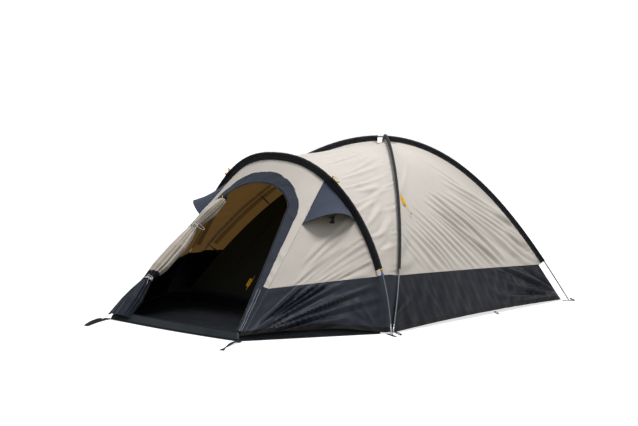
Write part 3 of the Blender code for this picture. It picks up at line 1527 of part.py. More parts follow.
def flap_section(v, swell, width, centre_in, depth_gap):
    """The gathered door's outline at one height: a ribbed oval behind the left edge of the opening."""
    x = door_edge(LEFT, v) + centre_in
    middle = front_surface(x, v)
    across = unit(front_surface(x + SURFACE_STEP, v) - middle)
    centre = middle - FRONT_NORMAL * (swell * (1 + FLAP_RIB_FACTOR) + depth_gap)
    ring = []
    for k in range(FLAP_SIDES):
        a = 2 * math.pi * k / FLAP_SIDES
        rib = 1 + FLAP_RIB_FACTOR * math.cos(FLAP_FOLDS * a)
        ring.append(centre + across * width * rib * math.cos(a) + FRONT_NORMAL * swell * rib * math.sin(a))
    return ring, centre, across


def flap_shape(s):
    """The half depth, half width and inset of the gathered door, from its top (0) to its foot (1)."""
    pinch = 0.0
    for tie in FLAP_TIE_SHARES:
        away = max(0.0, abs(s - tie) - FLAP_TIE_HALF_SHARE)
        pinch += math.exp(-(away / FLAP_PINCH_SHARE) ** 2)
    lower_tie = FLAP_TIE_SHARES[1]
    flare = max(0.0, (s - lower_tie) / (1 - lower_tie)) ** 1.3
    neck = min(1.0, FLAP_NECK_FACTOR + s / FLAP_NECK_SHARE)
    swell = FLAP_SWELL * neck * (1 - FLAP_SWELL_PINCH_FACTOR * pinch)
    width = FLAP_WIDTH * neck * (1 - FLAP_WIDTH_PINCH_FACTOR * pinch)
    swell *= 1 - FLAP_FOOT_THINNING_FACTOR * flare
    width *= 1 + FLAP_FOOT_WIDENING_FACTOR * flare
    return swell, width, FLAP_INSET * min(1.0, s / FLAP_BEND_SHARE) + FLAP_FOOT_INSET * flare


def door_flap():
    """The door cloth gathered along the left of the opening, and the two ties that hold it."""
    stations = [k / FLAP_ROWS for k in range(FLAP_ROWS + 1)]
    stations = [s for s in stations if all(abs(s - tie) > 2 * FLAP_TIE_HALF_SHARE for tie in FLAP_TIE_SHARES)]
    for tie in FLAP_TIE_SHARES:
        stations += [tie - FLAP_TIE_HALF_SHARE, tie + FLAP_TIE_HALF_SHARE]
    rings = []
    for s in sorted(stations):
        v = lerp(FLAP_TOP_SHARE, FLAP_FOOT_SHARE, s)
        rings.append(flap_section(v, *flap_shape(s), FLAP_BACK_GAP if s > 0 else GAP)[0])
    loft("door_flap", rings, light_cloth())
    for tie, name in zip(FLAP_TIE_SHARES, ("upper", "lower")):
        swell, width, inset = flap_shape(tie)
        v = lerp(FLAP_TOP_SHARE, FLAP_FOOT_SHARE, tie)
        _, centre, across = flap_section(v, swell, width, inset, FLAP_BACK_GAP)
        lower_v = v - FLAP_TIE_HALF_SHARE
        down = unit(front_surface(door_edge(LEFT, lower_v), lower_v) - front_surface(door_edge(LEFT, v), v))
        outer, inner = [], []
        for t in (-0.5, 0.5):
            middle = centre + down * TIE_WIDTH * t
            grown = [(1 + FLAP_RIB_FACTOR) * r + TIE_CLEARANCE for r in (width, swell)]
            inner.append(ellipse(middle, across, FRONT_NORMAL, *grown, sides=24))
            outer.append(ellipse(middle, across, FRONT_NORMAL, *(r + TIE_THICKNESS for r in grown), sides=24))
        tube_with_bore(f"flap_tie_{name}", outer, inner, pale_cord())


def zip_place(v):
    """The slider's middle over the zip's left leg."""
    x = door_edge(LEFT, v) + GAP + ZIP_WIDTH / 2 + SLIDER_INWARD
    return front_surface(x, v) + FRONT_NORMAL * (ZIP_THICKNESS + SLIDER_RISE + SLIDER_THICKNESS / 2)


def door_zip_slider():
    """The zip's slider with its puller, at the top of the zip's straight left leg."""
    start, stop = zip_place(SLIDER_START_SHARE), zip_place(SLIDER_STOP_SHARE)
    down = unit(stop - start)
    v = SLIDER_START_SHARE
    x = door_edge(LEFT, v)
    across = front_surface(x + SURFACE_STEP, v) - front_surface(x - SURFACE_STEP, v)
    across = unit(across - down * (across @ down))
    normal = np.cross(across, down)
    profile = [(0.0, 0.73), (0.09, 1.0), (0.35, 0.82), (0.38, 0.36), (0.47, 0.36), (0.53, 0.64), (1.0, 0.64)]
    rings = []
    for along, share in profile:
        p = start + down * SLIDER_LENGTH * along
        side, out = across * SLIDER_HALF_WIDTH * share, normal * SLIDER_THICKNESS / 2
        rings.append([p - side - out, p + side - out, p + side + out, p - side + out])
    slider = loft("door_zip_slider", rings, tip_metal(), smooth=False)
    set_origin(slider, start)
    middle = zip_place((SLIDER_START_SHARE + SLIDER_STOP_SHARE) / 2)
    print(f"zip slider: slides towards {np.round(down, 4)} for {np.linalg.norm(stop - start):.3f} m, "
          f"off the line by {np.linalg.norm(middle - (start + stop) / 2) * 1000:.2f} mm")


def main():
    for obj in list(bpy.data.objects):
        bpy.data.objects.remove(obj)
    frame()
    side_panels = dome()
    front_roof()
    porch()
    inner_tent()
    inner_floor()
    porch_groundsheet()
    inner_hook("inner_hook_upper", UPPER_HOOK_HEIGHT)
    inner_hook("inner_hook_lower", LOWER_HOOK_HEIGHT)
    inner_cord_hank()
    for side, name in ((RIGHT, "right"), (LEFT, "left")):
        guyline(side, name, side_panels[side])
        hoop_guy_loop(side, name)
        anchor(side, "front", f"front_{name}")
        anchor(side, "rear", f"rear_{name}")
        porch_strap(side, name)
    door_flap()
    door_zip_slider()
    print(f"size {2 * HALF_WIDTH:.3f} wide, porch front at {PORCH_Y:.4f}, dome front at {FRONT_Y:.4f}")


main()
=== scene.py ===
"""The tent's cloth, webbing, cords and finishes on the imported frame, with a plain studio.

Metres, +Z up. The tent stands on z = 0, its door faces -Y and its long sides face +X and -X.
"""

import math

import bmesh
import bpy
import numpy as np
from mathutils import Matrix, Vector


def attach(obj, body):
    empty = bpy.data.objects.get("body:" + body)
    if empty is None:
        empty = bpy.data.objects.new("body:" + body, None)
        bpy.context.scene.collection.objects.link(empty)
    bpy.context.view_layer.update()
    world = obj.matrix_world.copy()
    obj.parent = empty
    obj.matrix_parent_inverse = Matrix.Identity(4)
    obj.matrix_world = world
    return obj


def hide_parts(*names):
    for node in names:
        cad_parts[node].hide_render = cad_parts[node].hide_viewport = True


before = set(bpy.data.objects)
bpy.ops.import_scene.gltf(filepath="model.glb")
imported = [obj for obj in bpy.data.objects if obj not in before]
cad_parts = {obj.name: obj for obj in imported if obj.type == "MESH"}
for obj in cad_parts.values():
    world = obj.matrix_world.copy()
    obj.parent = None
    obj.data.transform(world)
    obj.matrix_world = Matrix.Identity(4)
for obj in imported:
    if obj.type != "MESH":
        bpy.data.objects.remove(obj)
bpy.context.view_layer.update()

# Sizes of the frame, as in the CAD model, in metres and degrees
MAIN_LENGTH = 2.37
MAIN_WIDTH = 1.687
PORCH_DEPTH = 0.833
PORCH_FRONT_WIDTH = 0.907
PEAK_HEIGHT = 1.075
HOOP_HEIGHT = 0.937
HOOP_LEAN = 0.018
MAIN_POLE_ROUNDNESS = 1.98
HOOP_ROUNDNESS = 2.39
MAIN_POLE_BOW = 0.044
HOOP_BOW = 0.095
POLE_DIAMETER = 0.0085
FOOT_SPACING = 0.014
SLEEVE_DIAMETER = 0.0165
MAIN_WEB_DEPTH = 0.042
HOOP_WEB_DEPTH = 0.031
CROWN_RADIUS = 0.055
SLEEVE_END_HEIGHT = 0.325
GAP = 0.0003
FRAME_CLOTH = 0.003
RIDGE_OFFSET = 0.0014
SIDE_SAG = 0.018
REAR_SAG = 0.018
PORCH_SAG = 0.006
SEAM_FRONT_CORNER = 0.295
SEAM_REAR_CORNER = 0.245
SEAM_PORCH_CORNER = 0.245
HEM_FRONT_CORNER = 0.034
HEM_REAR_CORNER = 0.016
HEM_PORCH_CORNER = 0.028
HEM_PORCH_LIFT = 0.014
SEAM_BULGE = 0.009
DOOR_ARCH_HALF_WIDTH = 0.255
DOOR_ARCH_SPRING = 0.895
DOOR_ARCH_RISE = 0.163
DOOR_FOOT_INSET = 0.0285
TRIM_LEG_WIDTH = 0.060
TRIM_TOP_WIDTH = 0.082
TRIM_SPRING_DROP = 0.025
TRIM_FOOT_INSET = 0.0065
DOOR_SILL_HEIGHT = 0.05
VENT_LOW_FRONT = 0.565
VENT_LOW_REAR = 0.585
VENT_HOOD_REACH = 0.075
VENT_HOOD_LIFT = 0.058
VENT_HOOD_CLEARANCE = 0.0037
INNER_SIDE_ROOM = 0.1435
INNER_END_ROOM = 0.135
INNER_PEAK_DROP = 0.120
INNER_ROUNDNESS = 1.9
INNER_SAG = 0.02
INNER_TOP_SHARE = 0.035
TUB_WALL = 0.07
PORCH_SILL = 0.042
PORCH_WALL = 0.052
PORCH_FLOOR_INSET = 0.012
PORCH_WALL_LEAN = 0.030
PORCH_SHEET_HOOP_INSET = 0.068
WEBBING_WIDTH = 0.022
WEBBING_THICKNESS = 0.002
ANCHOR_REACH = 0.045
REAR_ANCHOR_ANGLE = 54.6
STRAP_LENGTH = 0.25
STRAP_ANGLE = 22.0
BUCKLE_LENGTH = 0.030
BUCKLE_WIDTH = 0.030
CORD_DIAMETER = 0.0025
CORD_GAP = 0.0010
CORD_LIFT = 0.002
HANK_LOOPS = 6
HANK_LENGTH = 0.080
HANK_WIDTH = 0.030
HANK_WAIST = 0.001
HANK_POINTS = 16
LEAD_LENGTH = 0.115
LEAD_STEPS = 10
TAIL_LENGTH = 0.085
INNER_HANK_LOOPS = 4
INNER_HANK_LENGTH = 0.055
INNER_HANK_WIDTH = 0.022
INNER_HANK_TAIL = 0.035
INNER_HANK_SHARE = 0.55
GUY_TAB_HEIGHT = 0.77
HOOP_TAB_HEIGHT = 0.77

RIGHT = 1
LEFT = -1
UP = np.array([0.0, 0.0, 1.0])
SIDES = ((RIGHT, "right"), (LEFT, "left"))

STRAP_TURN = math.radians(STRAP_ANGLE)
STRAP_STARTS = {
    RIGHT: GAP - PORCH_FLOOR_INSET * (math.sin(STRAP_TURN) + math.cos(STRAP_TURN)),
    LEFT: (GAP - PORCH_FLOOR_INSET + BUCKLE_WIDTH / 2 * math.sin(STRAP_TURN)) / math.cos(STRAP_TURN),
}
REAR_ANCHOR_TURN = math.radians(REAR_ANCHOR_ANGLE)
STRAP_REACH = max(STRAP_STARTS.values()) + BUCKLE_LENGTH + GAP + STRAP_LENGTH
STRAP_FORWARD = STRAP_REACH * math.cos(STRAP_TURN) + WEBBING_WIDTH / 2 * math.sin(STRAP_TURN)
ANCHOR_BEHIND = (ANCHOR_REACH - WEBBING_WIDTH / 2) * math.sin(REAR_ANCHOR_TURN) + WEBBING_WIDTH / 2
FRONT_Y = (PORCH_DEPTH + STRAP_FORWARD - MAIN_LENGTH - ANCHOR_BEHIND) / 2
REAR_Y = FRONT_Y + MAIN_LENGTH
PORCH_Y = FRONT_Y - PORCH_DEPTH
HALF_WIDTH = MAIN_WIDTH / 2
PORCH_HALF = PORCH_FRONT_WIDTH / 2
DOOR_ARCH = (DOOR_ARCH_HALF_WIDTH, DOOR_ARCH_SPRING, DOOR_ARCH_RISE, PORCH_HALF - DOOR_FOOT_INSET)
FRAME_ARCH = (
    DOOR_ARCH_HALF_WIDTH + TRIM_LEG_WIDTH, DOOR_ARCH_SPRING - TRIM_SPRING_DROP,
    DOOR_ARCH_RISE + TRIM_TOP_WIDTH + TRIM_SPRING_DROP, PORCH_HALF - TRIM_FOOT_INSET,
)
INNER_WIDTH = MAIN_WIDTH - 2 * INNER_SIDE_ROOM
INNER_LENGTH = MAIN_LENGTH - 2 * INNER_END_ROOM
INNER_FRONT = FRONT_Y + INNER_END_ROOM
SLEEVE_RADIUS = SLEEVE_DIAMETER / 2
MAIN_STEPS = 13
HOOP_STEPS = 14
SLEEVE_FLAT = SLEEVE_RADIUS * math.cos(math.radians(24))
FOOT_LIFT = WEBBING_THICKNESS + GAP
POLE_SPLIT = (POLE_DIAMETER + GAP) / 2
PEAK = np.array([0.0, (FRONT_Y + REAR_Y) / 2, PEAK_HEIGHT])


# Camera and studio

CAMERA_PLACE = (4.157, -5.536 + FRONT_Y, 1.026)
CAMERA_AZIMUTH = math.radians(34.676)
CAMERA_ELEVATION = math.radians(3.449)
CAMERA_ROLL = math.radians(2.978)
FOCAL_PIXELS = 1208.0
IMAGE_WIDTH = 638.0
SENSOR_WIDTH = 36.0

SKY_DARK = (0.17, 0.175, 0.18, 1)
SKY_BRIGHT = (0.89, 0.93, 1.0, 1)
SKY_DARK_BELOW = 0.48
SKY_STRENGTH = 0.62
WHITE = (1, 1, 1, 1)
LAMPS = (
    # name, place, aim, size, power in watts, colour
    ("key", (1.9, -0.2, 7.0), (0, 0, 0.4), 2.2, 345, (1.0, 0.985, 0.975)),
    ("side", (6.0, 3.0, 3.2), (0.5, 0.4, 0.4), 2.0, 24, (0.97, 0.985, 1.0)),
)
FLOOR_REACH = 60.0
FLOOR_LIT = (0.21, 0.20, 0.13, 1)
FLOOR_SEEN = (0.55, 0.55, 0.55, 1)
FLOOR_GLOW = (("From Min", 2.2), ("From Max", 6.0), ("To Min", 0.72), ("To Max", 1.0))


def camera():
    data = bpy.data.cameras.new("camera")
    data.sensor_width = SENSOR_WIDTH
    data.lens = FOCAL_PIXELS * data.sensor_width / IMAGE_WIDTH
    data.clip_end = 200.0
    az, el, roll = CAMERA_AZIMUTH, CAMERA_ELEVATION, CAMERA_ROLL
    forward = Vector((-math.sin(az) * math.cos(el), math.cos(az) * math.cos(el), -math.sin(el)))
    right = Vector((math.cos(az), math.sin(az), 0.0))
    up = right.cross(forward)
    across = right * math.cos(roll) + up * math.sin(roll)
    above = up * math.cos(roll) - right * math.sin(roll)
    rows = [[across[i], above[i], -forward[i], CAMERA_PLACE[i]] for i in range(3)]
    obj = add_object("camera", data)
    obj.matrix_world = Matrix([*rows, [0, 0, 0, 1]])
    bpy.context.scene.camera = obj


def seen_share(tree):
    """1 where the camera, a reflection or a clear cloth sees the surface, 0 where it only gives light."""
    path = tree.nodes.new("ShaderNodeLightPath")
    share = path.outputs["Is Camera Ray"]
    for kind in ("Is Glossy Ray", "Is Transmission Ray"):
        either = tree.nodes.new("ShaderNodeMath")
        either.operation = "MAXIMUM"
        tree.links.new(share, either.inputs[0])
        tree.links.new(path.outputs[kind], either.inputs[1])
        share = either.outputs[0]
    return share


def lit_or_seen(tree, lit, seen, target):
    """One shader for what lights the tent and another for what is seen."""
    mix = tree.nodes.new("ShaderNodeMixShader")
    for socket, source in zip(mix.inputs, (seen_share(tree), lit.outputs[0], seen.outputs[0])):
        tree.links.new(source, socket)
    tree.links.new(mix.outputs[0], target)


def sky():
    """Light that grows towards the zenith, behind a plain white background."""
    world = bpy.data.worlds.new("studio")
    bpy.context.scene.world = world
    world.use_nodes = True
    tree = world.node_tree
    tree.nodes.clear()
    add, link = tree.nodes.new, tree.links.new
    place, split = add("ShaderNodeTexCoord"), add("ShaderNodeSeparateXYZ")
    half, ramp = add("ShaderNodeMapRange"), add("ShaderNodeValToRGB")
    half.inputs["From Min"].default_value = -1.0
    stops = ((SKY_DARK_BELOW, SKY_DARK), (1.0, SKY_BRIGHT))
    for stop, (position, colour) in zip(ramp.color_ramp.elements, stops):
        stop.position = position
        stop.color = colour
    link(place.outputs["Generated"], split.inputs[0])
    link(split.outputs["Z"], half.inputs["Value"])
    link(half.outputs[0], ramp.inputs[0])
    lit, seen, out = add("ShaderNodeBackground"), add("ShaderNodeBackground"), add("ShaderNodeOutputWorld")
    lit.inputs["Strength"].default_value = SKY_STRENGTH
    link(ramp.outputs[0], lit.inputs["Color"])
    seen.inputs["Color"].default_value = WHITE
    lit_or_seen(tree, lit, seen, out.inputs[0])


def floor():
    """A floor that fades into the background: it glows more the farther it is from the tent."""
    x = FLOOR_REACH
    mesh = bpy.data.meshes.new("floor")
    mesh.from_pydata([(-x, -x, 0), (x, -x, 0), (x, x, 0), (-x, x, 0)], [], [(0, 1, 2, 3)])
    material = bpy.data.materials.new("floor")
    material.use_nodes = True
    mesh.materials.append(material)
    tree = material.node_tree
    tree.nodes.clear()
    add, link = tree.nodes.new, tree.links.new
    lit, seen, pale = add("ShaderNodeBsdfDiffuse"), add("ShaderNodeAddShader"), add("ShaderNodeBsdfDiffuse")
    lit.inputs["Color"].default_value = FLOOR_LIT
    pale.inputs["Color"].default_value = FLOOR_SEEN
    place, away, grow = add("ShaderNodeTexCoord"), add("ShaderNodeVectorMath"), add("ShaderNodeMapRange")
    glow, out = add("ShaderNodeEmission"), add("ShaderNodeOutputMaterial")
    away.operation = "LENGTH"
    for socket, value in FLOOR_GLOW:
        grow.inputs[socket].default_value = value
    link(place.outputs["Object"], away.inputs[0])
    link(away.outputs["Value"], grow.inputs["Value"])
    link(grow.outputs[0], glow.inputs["Strength"])
    link(pale.outputs[0], seen.inputs[0])
    link(glow.outputs[0], seen.inputs[1])
    lit_or_seen(tree, lit, seen, out.inputs["Surface"])
    add_object("floor", mesh)


def studio():
    bpy.context.scene.view_settings.view_transform = "Standard"
    sky()
    for name, place, aim, size, power, colour in LAMPS:
        data = bpy.data.lights.new(name, "AREA")
        data.shape = "DISK"
        data.size = size
        data.energy = power
        data.color = colour
        obj = add_object(name, data)
        obj.location = place
        obj.rotation_euler = (Vector(aim) - Vector(place)).to_track_quat("-Z", "Y").to_euler()
    floor()


# The frame's curves


def vec(*xyz):
    return np.array(xyz, float)


def unit(v):
    v = np.asarray(v, float)
    return v / np.maximum(np.linalg.norm(v, axis=-1, keepdims=True), 1e-12)


def lerp(a, b, t):
    return a + (b - a) * t


def flat(direction):
    return unit(direction * vec(1, 1, 0))


class Arch:
    """A pole bent into an arch: u is -1 at its first foot, 0 at its top and 1 at its other foot."""

    def __init__(self, foot_a, foot_b, top, roundness, bow, depth):
        self.middle = (foot_a + foot_b) / 2
        self.half = (foot_b - foot_a) / 2
        self.lift = top - self.middle
        self.roundness = roundness
        self.side = unit(np.cross(self.half, UP))
        self.bow = bow
        self.depth = depth

    def point(self, u):
        u = np.asarray(u, float)[..., None]
        rise = 1 - abs(u) ** self.roundness
        return self.middle + self.half * u + self.lift * rise + self.side * 4 * self.bow * rise * (1 - rise)

    def tangent(self, u):
        step = 1e-4
        return unit(self.point(np.asarray(u) + step) - self.point(np.asarray(u) - step))

    def outward(self, u):
        n = unit(np.cross(self.side, self.tangent(u)))
        return n * np.where(n[..., 2:3] >= 0, 1, -1)

    def ridge(self, u, side):
        return self.point(u) - self.outward(u) * self.depth + self.side * side * RIDGE_OFFSET

    def u_at(self, height, sign):
        low, high = 0.0, 1.0
        for _ in range(40):
            u = (low + high) / 2
            if self.ridge(sign * u, 0)[2] > height:
                low = u
            else:
                high = u
        return sign * (low + high) / 2


def foot(side, y, z=0.0):
    return vec(side * HALF_WIDTH, y, z)


MAIN_DEPTH = SLEEVE_RADIUS + MAIN_WEB_DEPTH
HOOP_DEPTH = SLEEVE_RADIUS + HOOP_WEB_DEPTH
MAIN_FRONT_Y = FRONT_Y + FOOT_SPACING / 2
HOOP_Y = FRONT_Y - FOOT_SPACING / 2
POLE_ONE = Arch(
    foot(RIGHT, REAR_Y, FOOT_LIFT), foot(LEFT, MAIN_FRONT_Y, FOOT_LIFT), PEAK - UP * POLE_SPLIT,
    MAIN_POLE_ROUNDNESS, MAIN_POLE_BOW, MAIN_DEPTH,
)
POLE_TWO = Arch(
    foot(LEFT, REAR_Y, FOOT_LIFT), foot(RIGHT, MAIN_FRONT_Y, FOOT_LIFT), PEAK + UP * POLE_SPLIT,
    MAIN_POLE_ROUNDNESS, -MAIN_POLE_BOW, MAIN_DEPTH,
)
HOOP = Arch(
    foot(RIGHT, HOOP_Y, FOOT_LIFT), foot(LEFT, HOOP_Y, FOOT_LIFT), vec(0, HOOP_Y + HOOP_LEAN, HOOP_HEIGHT),
    HOOP_ROUNDNESS, HOOP_BOW, HOOP_DEPTH,
)
CROWN_U = CROWN_RADIUS / np.linalg.norm(POLE_ONE.half)


def ridge_of(side, y_end):
    arch = POLE_ONE if (side, y_end) in ((RIGHT, "rear"), (LEFT, "front")) else POLE_TWO
    return arch, (-1 if y_end == "rear" else 1)


def web_side(arch, towards):
    return 1 if arch.side @ towards > 0 else -1


def sleeve_u(arch, sign, low_height, top_u, t):
    """The u at a share t of a sleeve's half, from a low height (0) to its top (1)."""
    low = abs(arch.u_at(low_height, sign))
    return sign * np.sin(lerp(math.asin(low), math.asin(top_u), np.asarray(t, float)))


# Building blocks


def add_object(name, data):
    obj = bpy.data.objects.new(name, data)
    bpy.context.scene.collection.objects.link(obj)
    return obj


def finish_piece(obj, node_names, body="tent"):
    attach(obj, body)
    if node_names:
        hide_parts(*node_names)
    return obj


def grid_normals(grid, wraps=False):
    down = np.gradient(grid, axis=0)
    if wraps:
        across = (np.roll(grid, -1, axis=1) - np.roll(grid, 1, axis=1)) / 2
    else:
        across = np.gradient(grid, axis=1)
    return unit(np.cross(down, across))


def facing(grid, direction):
    """A grid's normals turned, all alike, to the side that the direction names."""
    normals = grid_normals(grid)
    middle = normals[normals.shape[0] // 2, normals.shape[1] // 2]
    return normals if middle @ direction > 0 else -normals


def run_lengths(grid, axis):
    steps = np.linalg.norm(np.diff(grid, axis=axis), axis=2)
    pad = [(0, 0), (0, 0)]
    pad[axis] = (1, 0)
    return np.cumsum(np.pad(steps, pad), axis=axis)


def two_layers(grid, out, thickness, wraps, keep):
    """Points of a cloth's outer and inner layer, its outer triangles, their UVs and their grid cells."""
    rows, cols = grid.shape[:2]
    half = out * thickness / 2
    points = np.concatenate([(grid + half).reshape(-1, 3), (grid - half).reshape(-1, 3)])
    closed = np.concatenate([grid, grid[:, :1]], axis=1) if wraps else grid
    places = np.stack([run_lengths(closed, 1), run_lengths(closed, 0)], axis=-1)
    last = cols if wraps else cols - 1
    i, j = np.meshgrid(np.arange(rows - 1), np.arange(last), indexing="ij")
    mask = np.ones_like(i, bool) if keep is None else keep[:rows - 1, :last]
    i, j = i[mask], j[mask]
    steps = ((0, 0), (0, 1), (1, 1), (1, 0))
    corners = np.stack([(i + p) * cols + (j + q) % cols for p, q in steps], axis=1)
    corner_uv = np.stack([places[i + p, j + q] for p, q in steps], axis=1)
    spans = [np.linalg.norm(points[corners[:, k]] - points[corners[:, k + 2]], axis=1) for k in (0, 1)]
    pick = np.where((spans[0] <= spans[1])[:, None], [0, 1, 2, 0, 2, 3], [0, 1, 3, 1, 2, 3])
    faces = np.take_along_axis(corners, pick, 1).reshape(-1, 3)
    face_uv = np.take_along_axis(corner_uv, pick[..., None], 1).reshape(-1, 3, 2)
    n = np.cross(points[faces[:, 1]] - points[faces[:, 0]], points[faces[:, 2]] - points[faces[:, 0]])
    if np.sum(n * out.reshape(-1, 3)[faces[:, 0]]) < 0:
        faces, face_uv = faces[:, ::-1], face_uv[:, ::-1]
    return points, faces, face_uv, (i, j)


def rim_faces(faces, face_uv, layer):
    """Triangles that close a cloth's two layers along every open edge, with their UVs."""
    edges = np.concatenate([faces[:, [k, (k + 1) % 3]] for k in range(3)])
    edge_uv = np.concatenate([face_uv[:, [k, (k + 1) % 3]] for k in range(3)])
    keys = edges.min(axis=1) * layer + edges.max(axis=1)
    _, first, counts = np.unique(keys, return_index=True, return_counts=True)
    rim, rim_uv = edges[first[counts == 1]], edge_uv[first[counts == 1]]
    start, end = rim[:, 0], rim[:, 1]
    upper = np.stack([end, start, start + layer], 1)
    lower = np.stack([end, start + layer, end + layer], 1)
    return np.concatenate([upper, lower]), np.concatenate([rim_uv[:, [1, 0, 0]], rim_uv[:, [1, 0, 1]]])


def cloth(name, grid, out, materials, thickness=0.0012, wraps=False, keep=None, patch=None):
    """A thin closed piece of cloth round a grid of points; out points to its outer face.

    materials are the outer face's, the inner face's and the patch's: patch marks cells of the outer face.
    UVs run in metres along the grid.
    """
    points, faces, face_uv, cells = two_layers(grid, out, thickness, wraps, keep)
    layer = grid.shape[0] * grid.shape[1]
    rims, rims_uv = rim_faces(faces, face_uv, layer)
    every = np.concatenate([faces, faces[:, ::-1] + layer, rims])
    uvs = np.concatenate([face_uv, face_uv[:, ::-1], rims_uv])
    index = np.zeros(len(every), "i")
    if len(materials) > 1:
        index[len(faces):len(faces) * 2] = 1
    if patch is not None:
        index[:len(faces)] = np.where(np.repeat(patch[cells], 2), 2, 0)
    used, new_index = np.unique(every, return_inverse=True)
    mesh = bpy.data.meshes.new(name)
    mesh.from_pydata(points[used].tolist(), [], new_index.reshape(every.shape).tolist())
    mesh.uv_layers.new(name="cloth").data.foreach_set("uv", uvs.reshape(-1).astype("f"))
    return finished_mesh(mesh, materials, 60, index)


def finished_mesh(mesh, materials, sharp_from, index=None):
    """An object with the mesh, smooth but for edges sharper than an angle in degrees."""
    for m in materials:
        mesh.materials.append(m)
    if index is not None:
        mesh.polygons.foreach_set("material_index", index)
    mesh.shade_smooth()
    mesh.set_sharp_from_angle(angle=math.radians(sharp_from))
    return add_object(mesh.name, mesh)


def tube(name, path, radius, material, sides=8):
    """A round tube along points, closed at its ends; radius may vary along them."""
    path = np.asarray(path, float)
    radii = np.broadcast_to(radius, len(path))
    tangents = unit(np.gradient(path, axis=0))
    side = unit(np.cross(tangents[0], vec(0.31, 0.17, 0.93)))
    angles = np.arange(sides) * 2 * math.pi / sides
    rings = []
    for p, t, r in zip(path, tangents, radii):
        side = unit(side - t * (side @ t))
        other = np.cross(t, side)
        rings.append(p + r * (np.cos(angles)[:, None] * side + np.sin(angles)[:, None] * other))
    points = np.concatenate(rings)
    faces = []
    for i in range(len(path) - 1):
        for j in range(sides):
            k = (j + 1) % sides
            faces.append((i * sides + j, i * sides + k, (i + 1) * sides + k, (i + 1) * sides + j))
    faces += [tuple(reversed(range(sides))), tuple(range(len(points) - sides, len(points)))]
    mesh = bpy.data.meshes.new(name)
    mesh.from_pydata(points.tolist(), [], faces)
    return finished_mesh(mesh, [material], 50)


def joined(name, objects):
    """One object with all the objects' meshes."""
    bm = bmesh.new()
    materials = []
    for obj in objects:
        start = len(bm.faces)
        own = []
        for m in obj.data.materials:
            if m not in materials:
                materials.append(m)
            own.append(materials.index(m))
        bm.from_mesh(obj.data)
        bm.faces.ensure_lookup_table()
        for face in bm.faces[start:]:
            face.material_index = own[face.material_index]
    mesh = bpy.data.meshes.new(name)
    bm.to_mesh(mesh)
    bm.free()
    for m in materials:
        mesh.materials.append(m)
    for obj in objects:
        bpy.data.objects.remove(obj)
    return add_object(name, mesh)


def strokes(x, y, lines):
    """The height of soft folds at flat places x, y; each line is (start, end, width, height)."""
    total = np.zeros(np.broadcast(x, y).shape)
    for (ax, ay), (bx, by), width, height in lines:
        dx, dy = bx - ax, by - ay
        length = math.hypot(dx, dy)
        along = ((x - ax) * dx + (y - ay) * dy) / length ** 2
        across = ((x - ax) * dy - (y - ay) * dx) / length
        inside = np.clip(along, 0, 1)
        swell = np.sin(math.pi * inside) ** 0.7
        w = width * (0.4 + 0.9 * inside)
        bend = across + 0.06 * length * inside * (1 - inside)
        total += height * swell * (np.exp(-(bend / w) ** 2) - 0.6 * np.exp(-((bend - 1.7 * w) / w) ** 2))
    return total


# Fans of folds, from a panel's two corners:
# corner, angles in degrees, count, nearest and farthest reach, width, height
FANS = {
    "side": (((1.70, 0.16), (166, 132), 7, 0.14, 0.80, 0.014, 0.0080),
             ((-0.66, 0.20), (14, 52), 5, 0.14, 0.75, 0.019, 0.0042)),
    "side_skirt": (((1.74, 0.03), (178, 157), 10, 0.05, 1.15, 0.017, 0.0190),
                   ((-0.68, 0.05), (5, 24), 5, 0.05, 0.70, 0.016, 0.0085)),
    "rear": (((0.80, 0.17), (165, 125), 9, 0.12, 0.90, 0.014, 0.0042),
             ((-0.80, 0.17), (15, 55), 9, 0.12, 0.90, 0.014, 0.0042)),
    "rear_skirt": (((0.84, 0.03), (178, 157), 10, 0.05, 1.15, 0.017, 0.0190),
                   ((-0.84, 0.03), (5, 24), 5, 0.05, 0.70, 0.016, 0.0085)),
    "porch_side": (((0.0, 0.03), (22, 70), 11, 0.24, 0.82, 0.017, 0.0085),
                   ((0.90, 0.18), (152, 118), 5, 0.18, 0.50, 0.015, 0.0060)),
    "porch_skirt": (((0.0, 0.0), (6, 50), 11, 0.05, 0.95, 0.016, 0.0250),
                    ((0.86, 0.0), (172, 140), 5, 0.05, 0.40, 0.016, 0.0075)),
}


def fans(rng, place):
    return [line for row in FANS[place] for line in fan(rng, *row)]


def fan(rng, centre, angles, count, near, far, width, height):
    """Folds that spread from a corner between two angles, in degrees, from a near to a far reach."""
    lines = []
    centre = vec(*centre)
    for k in range(count):
        a = math.radians(lerp(*angles, (k + rng.uniform(0.15, 0.85)) / count))
        start, end = near * rng.uniform(0.6, 1.6), lerp(near, far, rng.uniform(0.4, 1.0))
        turn = vec(math.cos(a), math.sin(a))
        p, q = centre + turn * start, centre + turn * end
        lines.append((tuple(p), tuple(q), width * rng.uniform(0.7, 1.35), height * rng.uniform(0.45, 1.0)))
    return lines


def ripple(x, y, rng, size, height, count=9):
    """Gentle uneven waves, about a size across."""
    total = np.zeros(np.broadcast(x, y).shape)
    for _ in range(count):
        a = rng.uniform(0, 2 * math.pi)
        k = 2 * math.pi / (size * rng.uniform(0.7, 1.6))
        total += np.sin((x * math.cos(a) + y * math.sin(a)) * k + rng.uniform(0, 2 * math.pi))
    return total * height / math.sqrt(count)


def edge_fade(shape, margin_rows=0.06, margin_cols=0.06):
    """1 inside a grid and 0 at its borders, so that folds leave the seams where they are."""
    r, c = np.linspace(0, 1, shape[0])[:, None], np.linspace(0, 1, shape[1])[None, :]
    rows = np.clip(np.minimum(r, 1 - r) / margin_rows, 0, 1) if margin_rows else np.ones_like(r)
    cols = np.clip(np.minimum(c, 1 - c) / margin_cols, 0, 1) if margin_cols else np.ones_like(c)
    return (rows * (2 - rows)) * (cols * (2 - cols))


# Materials


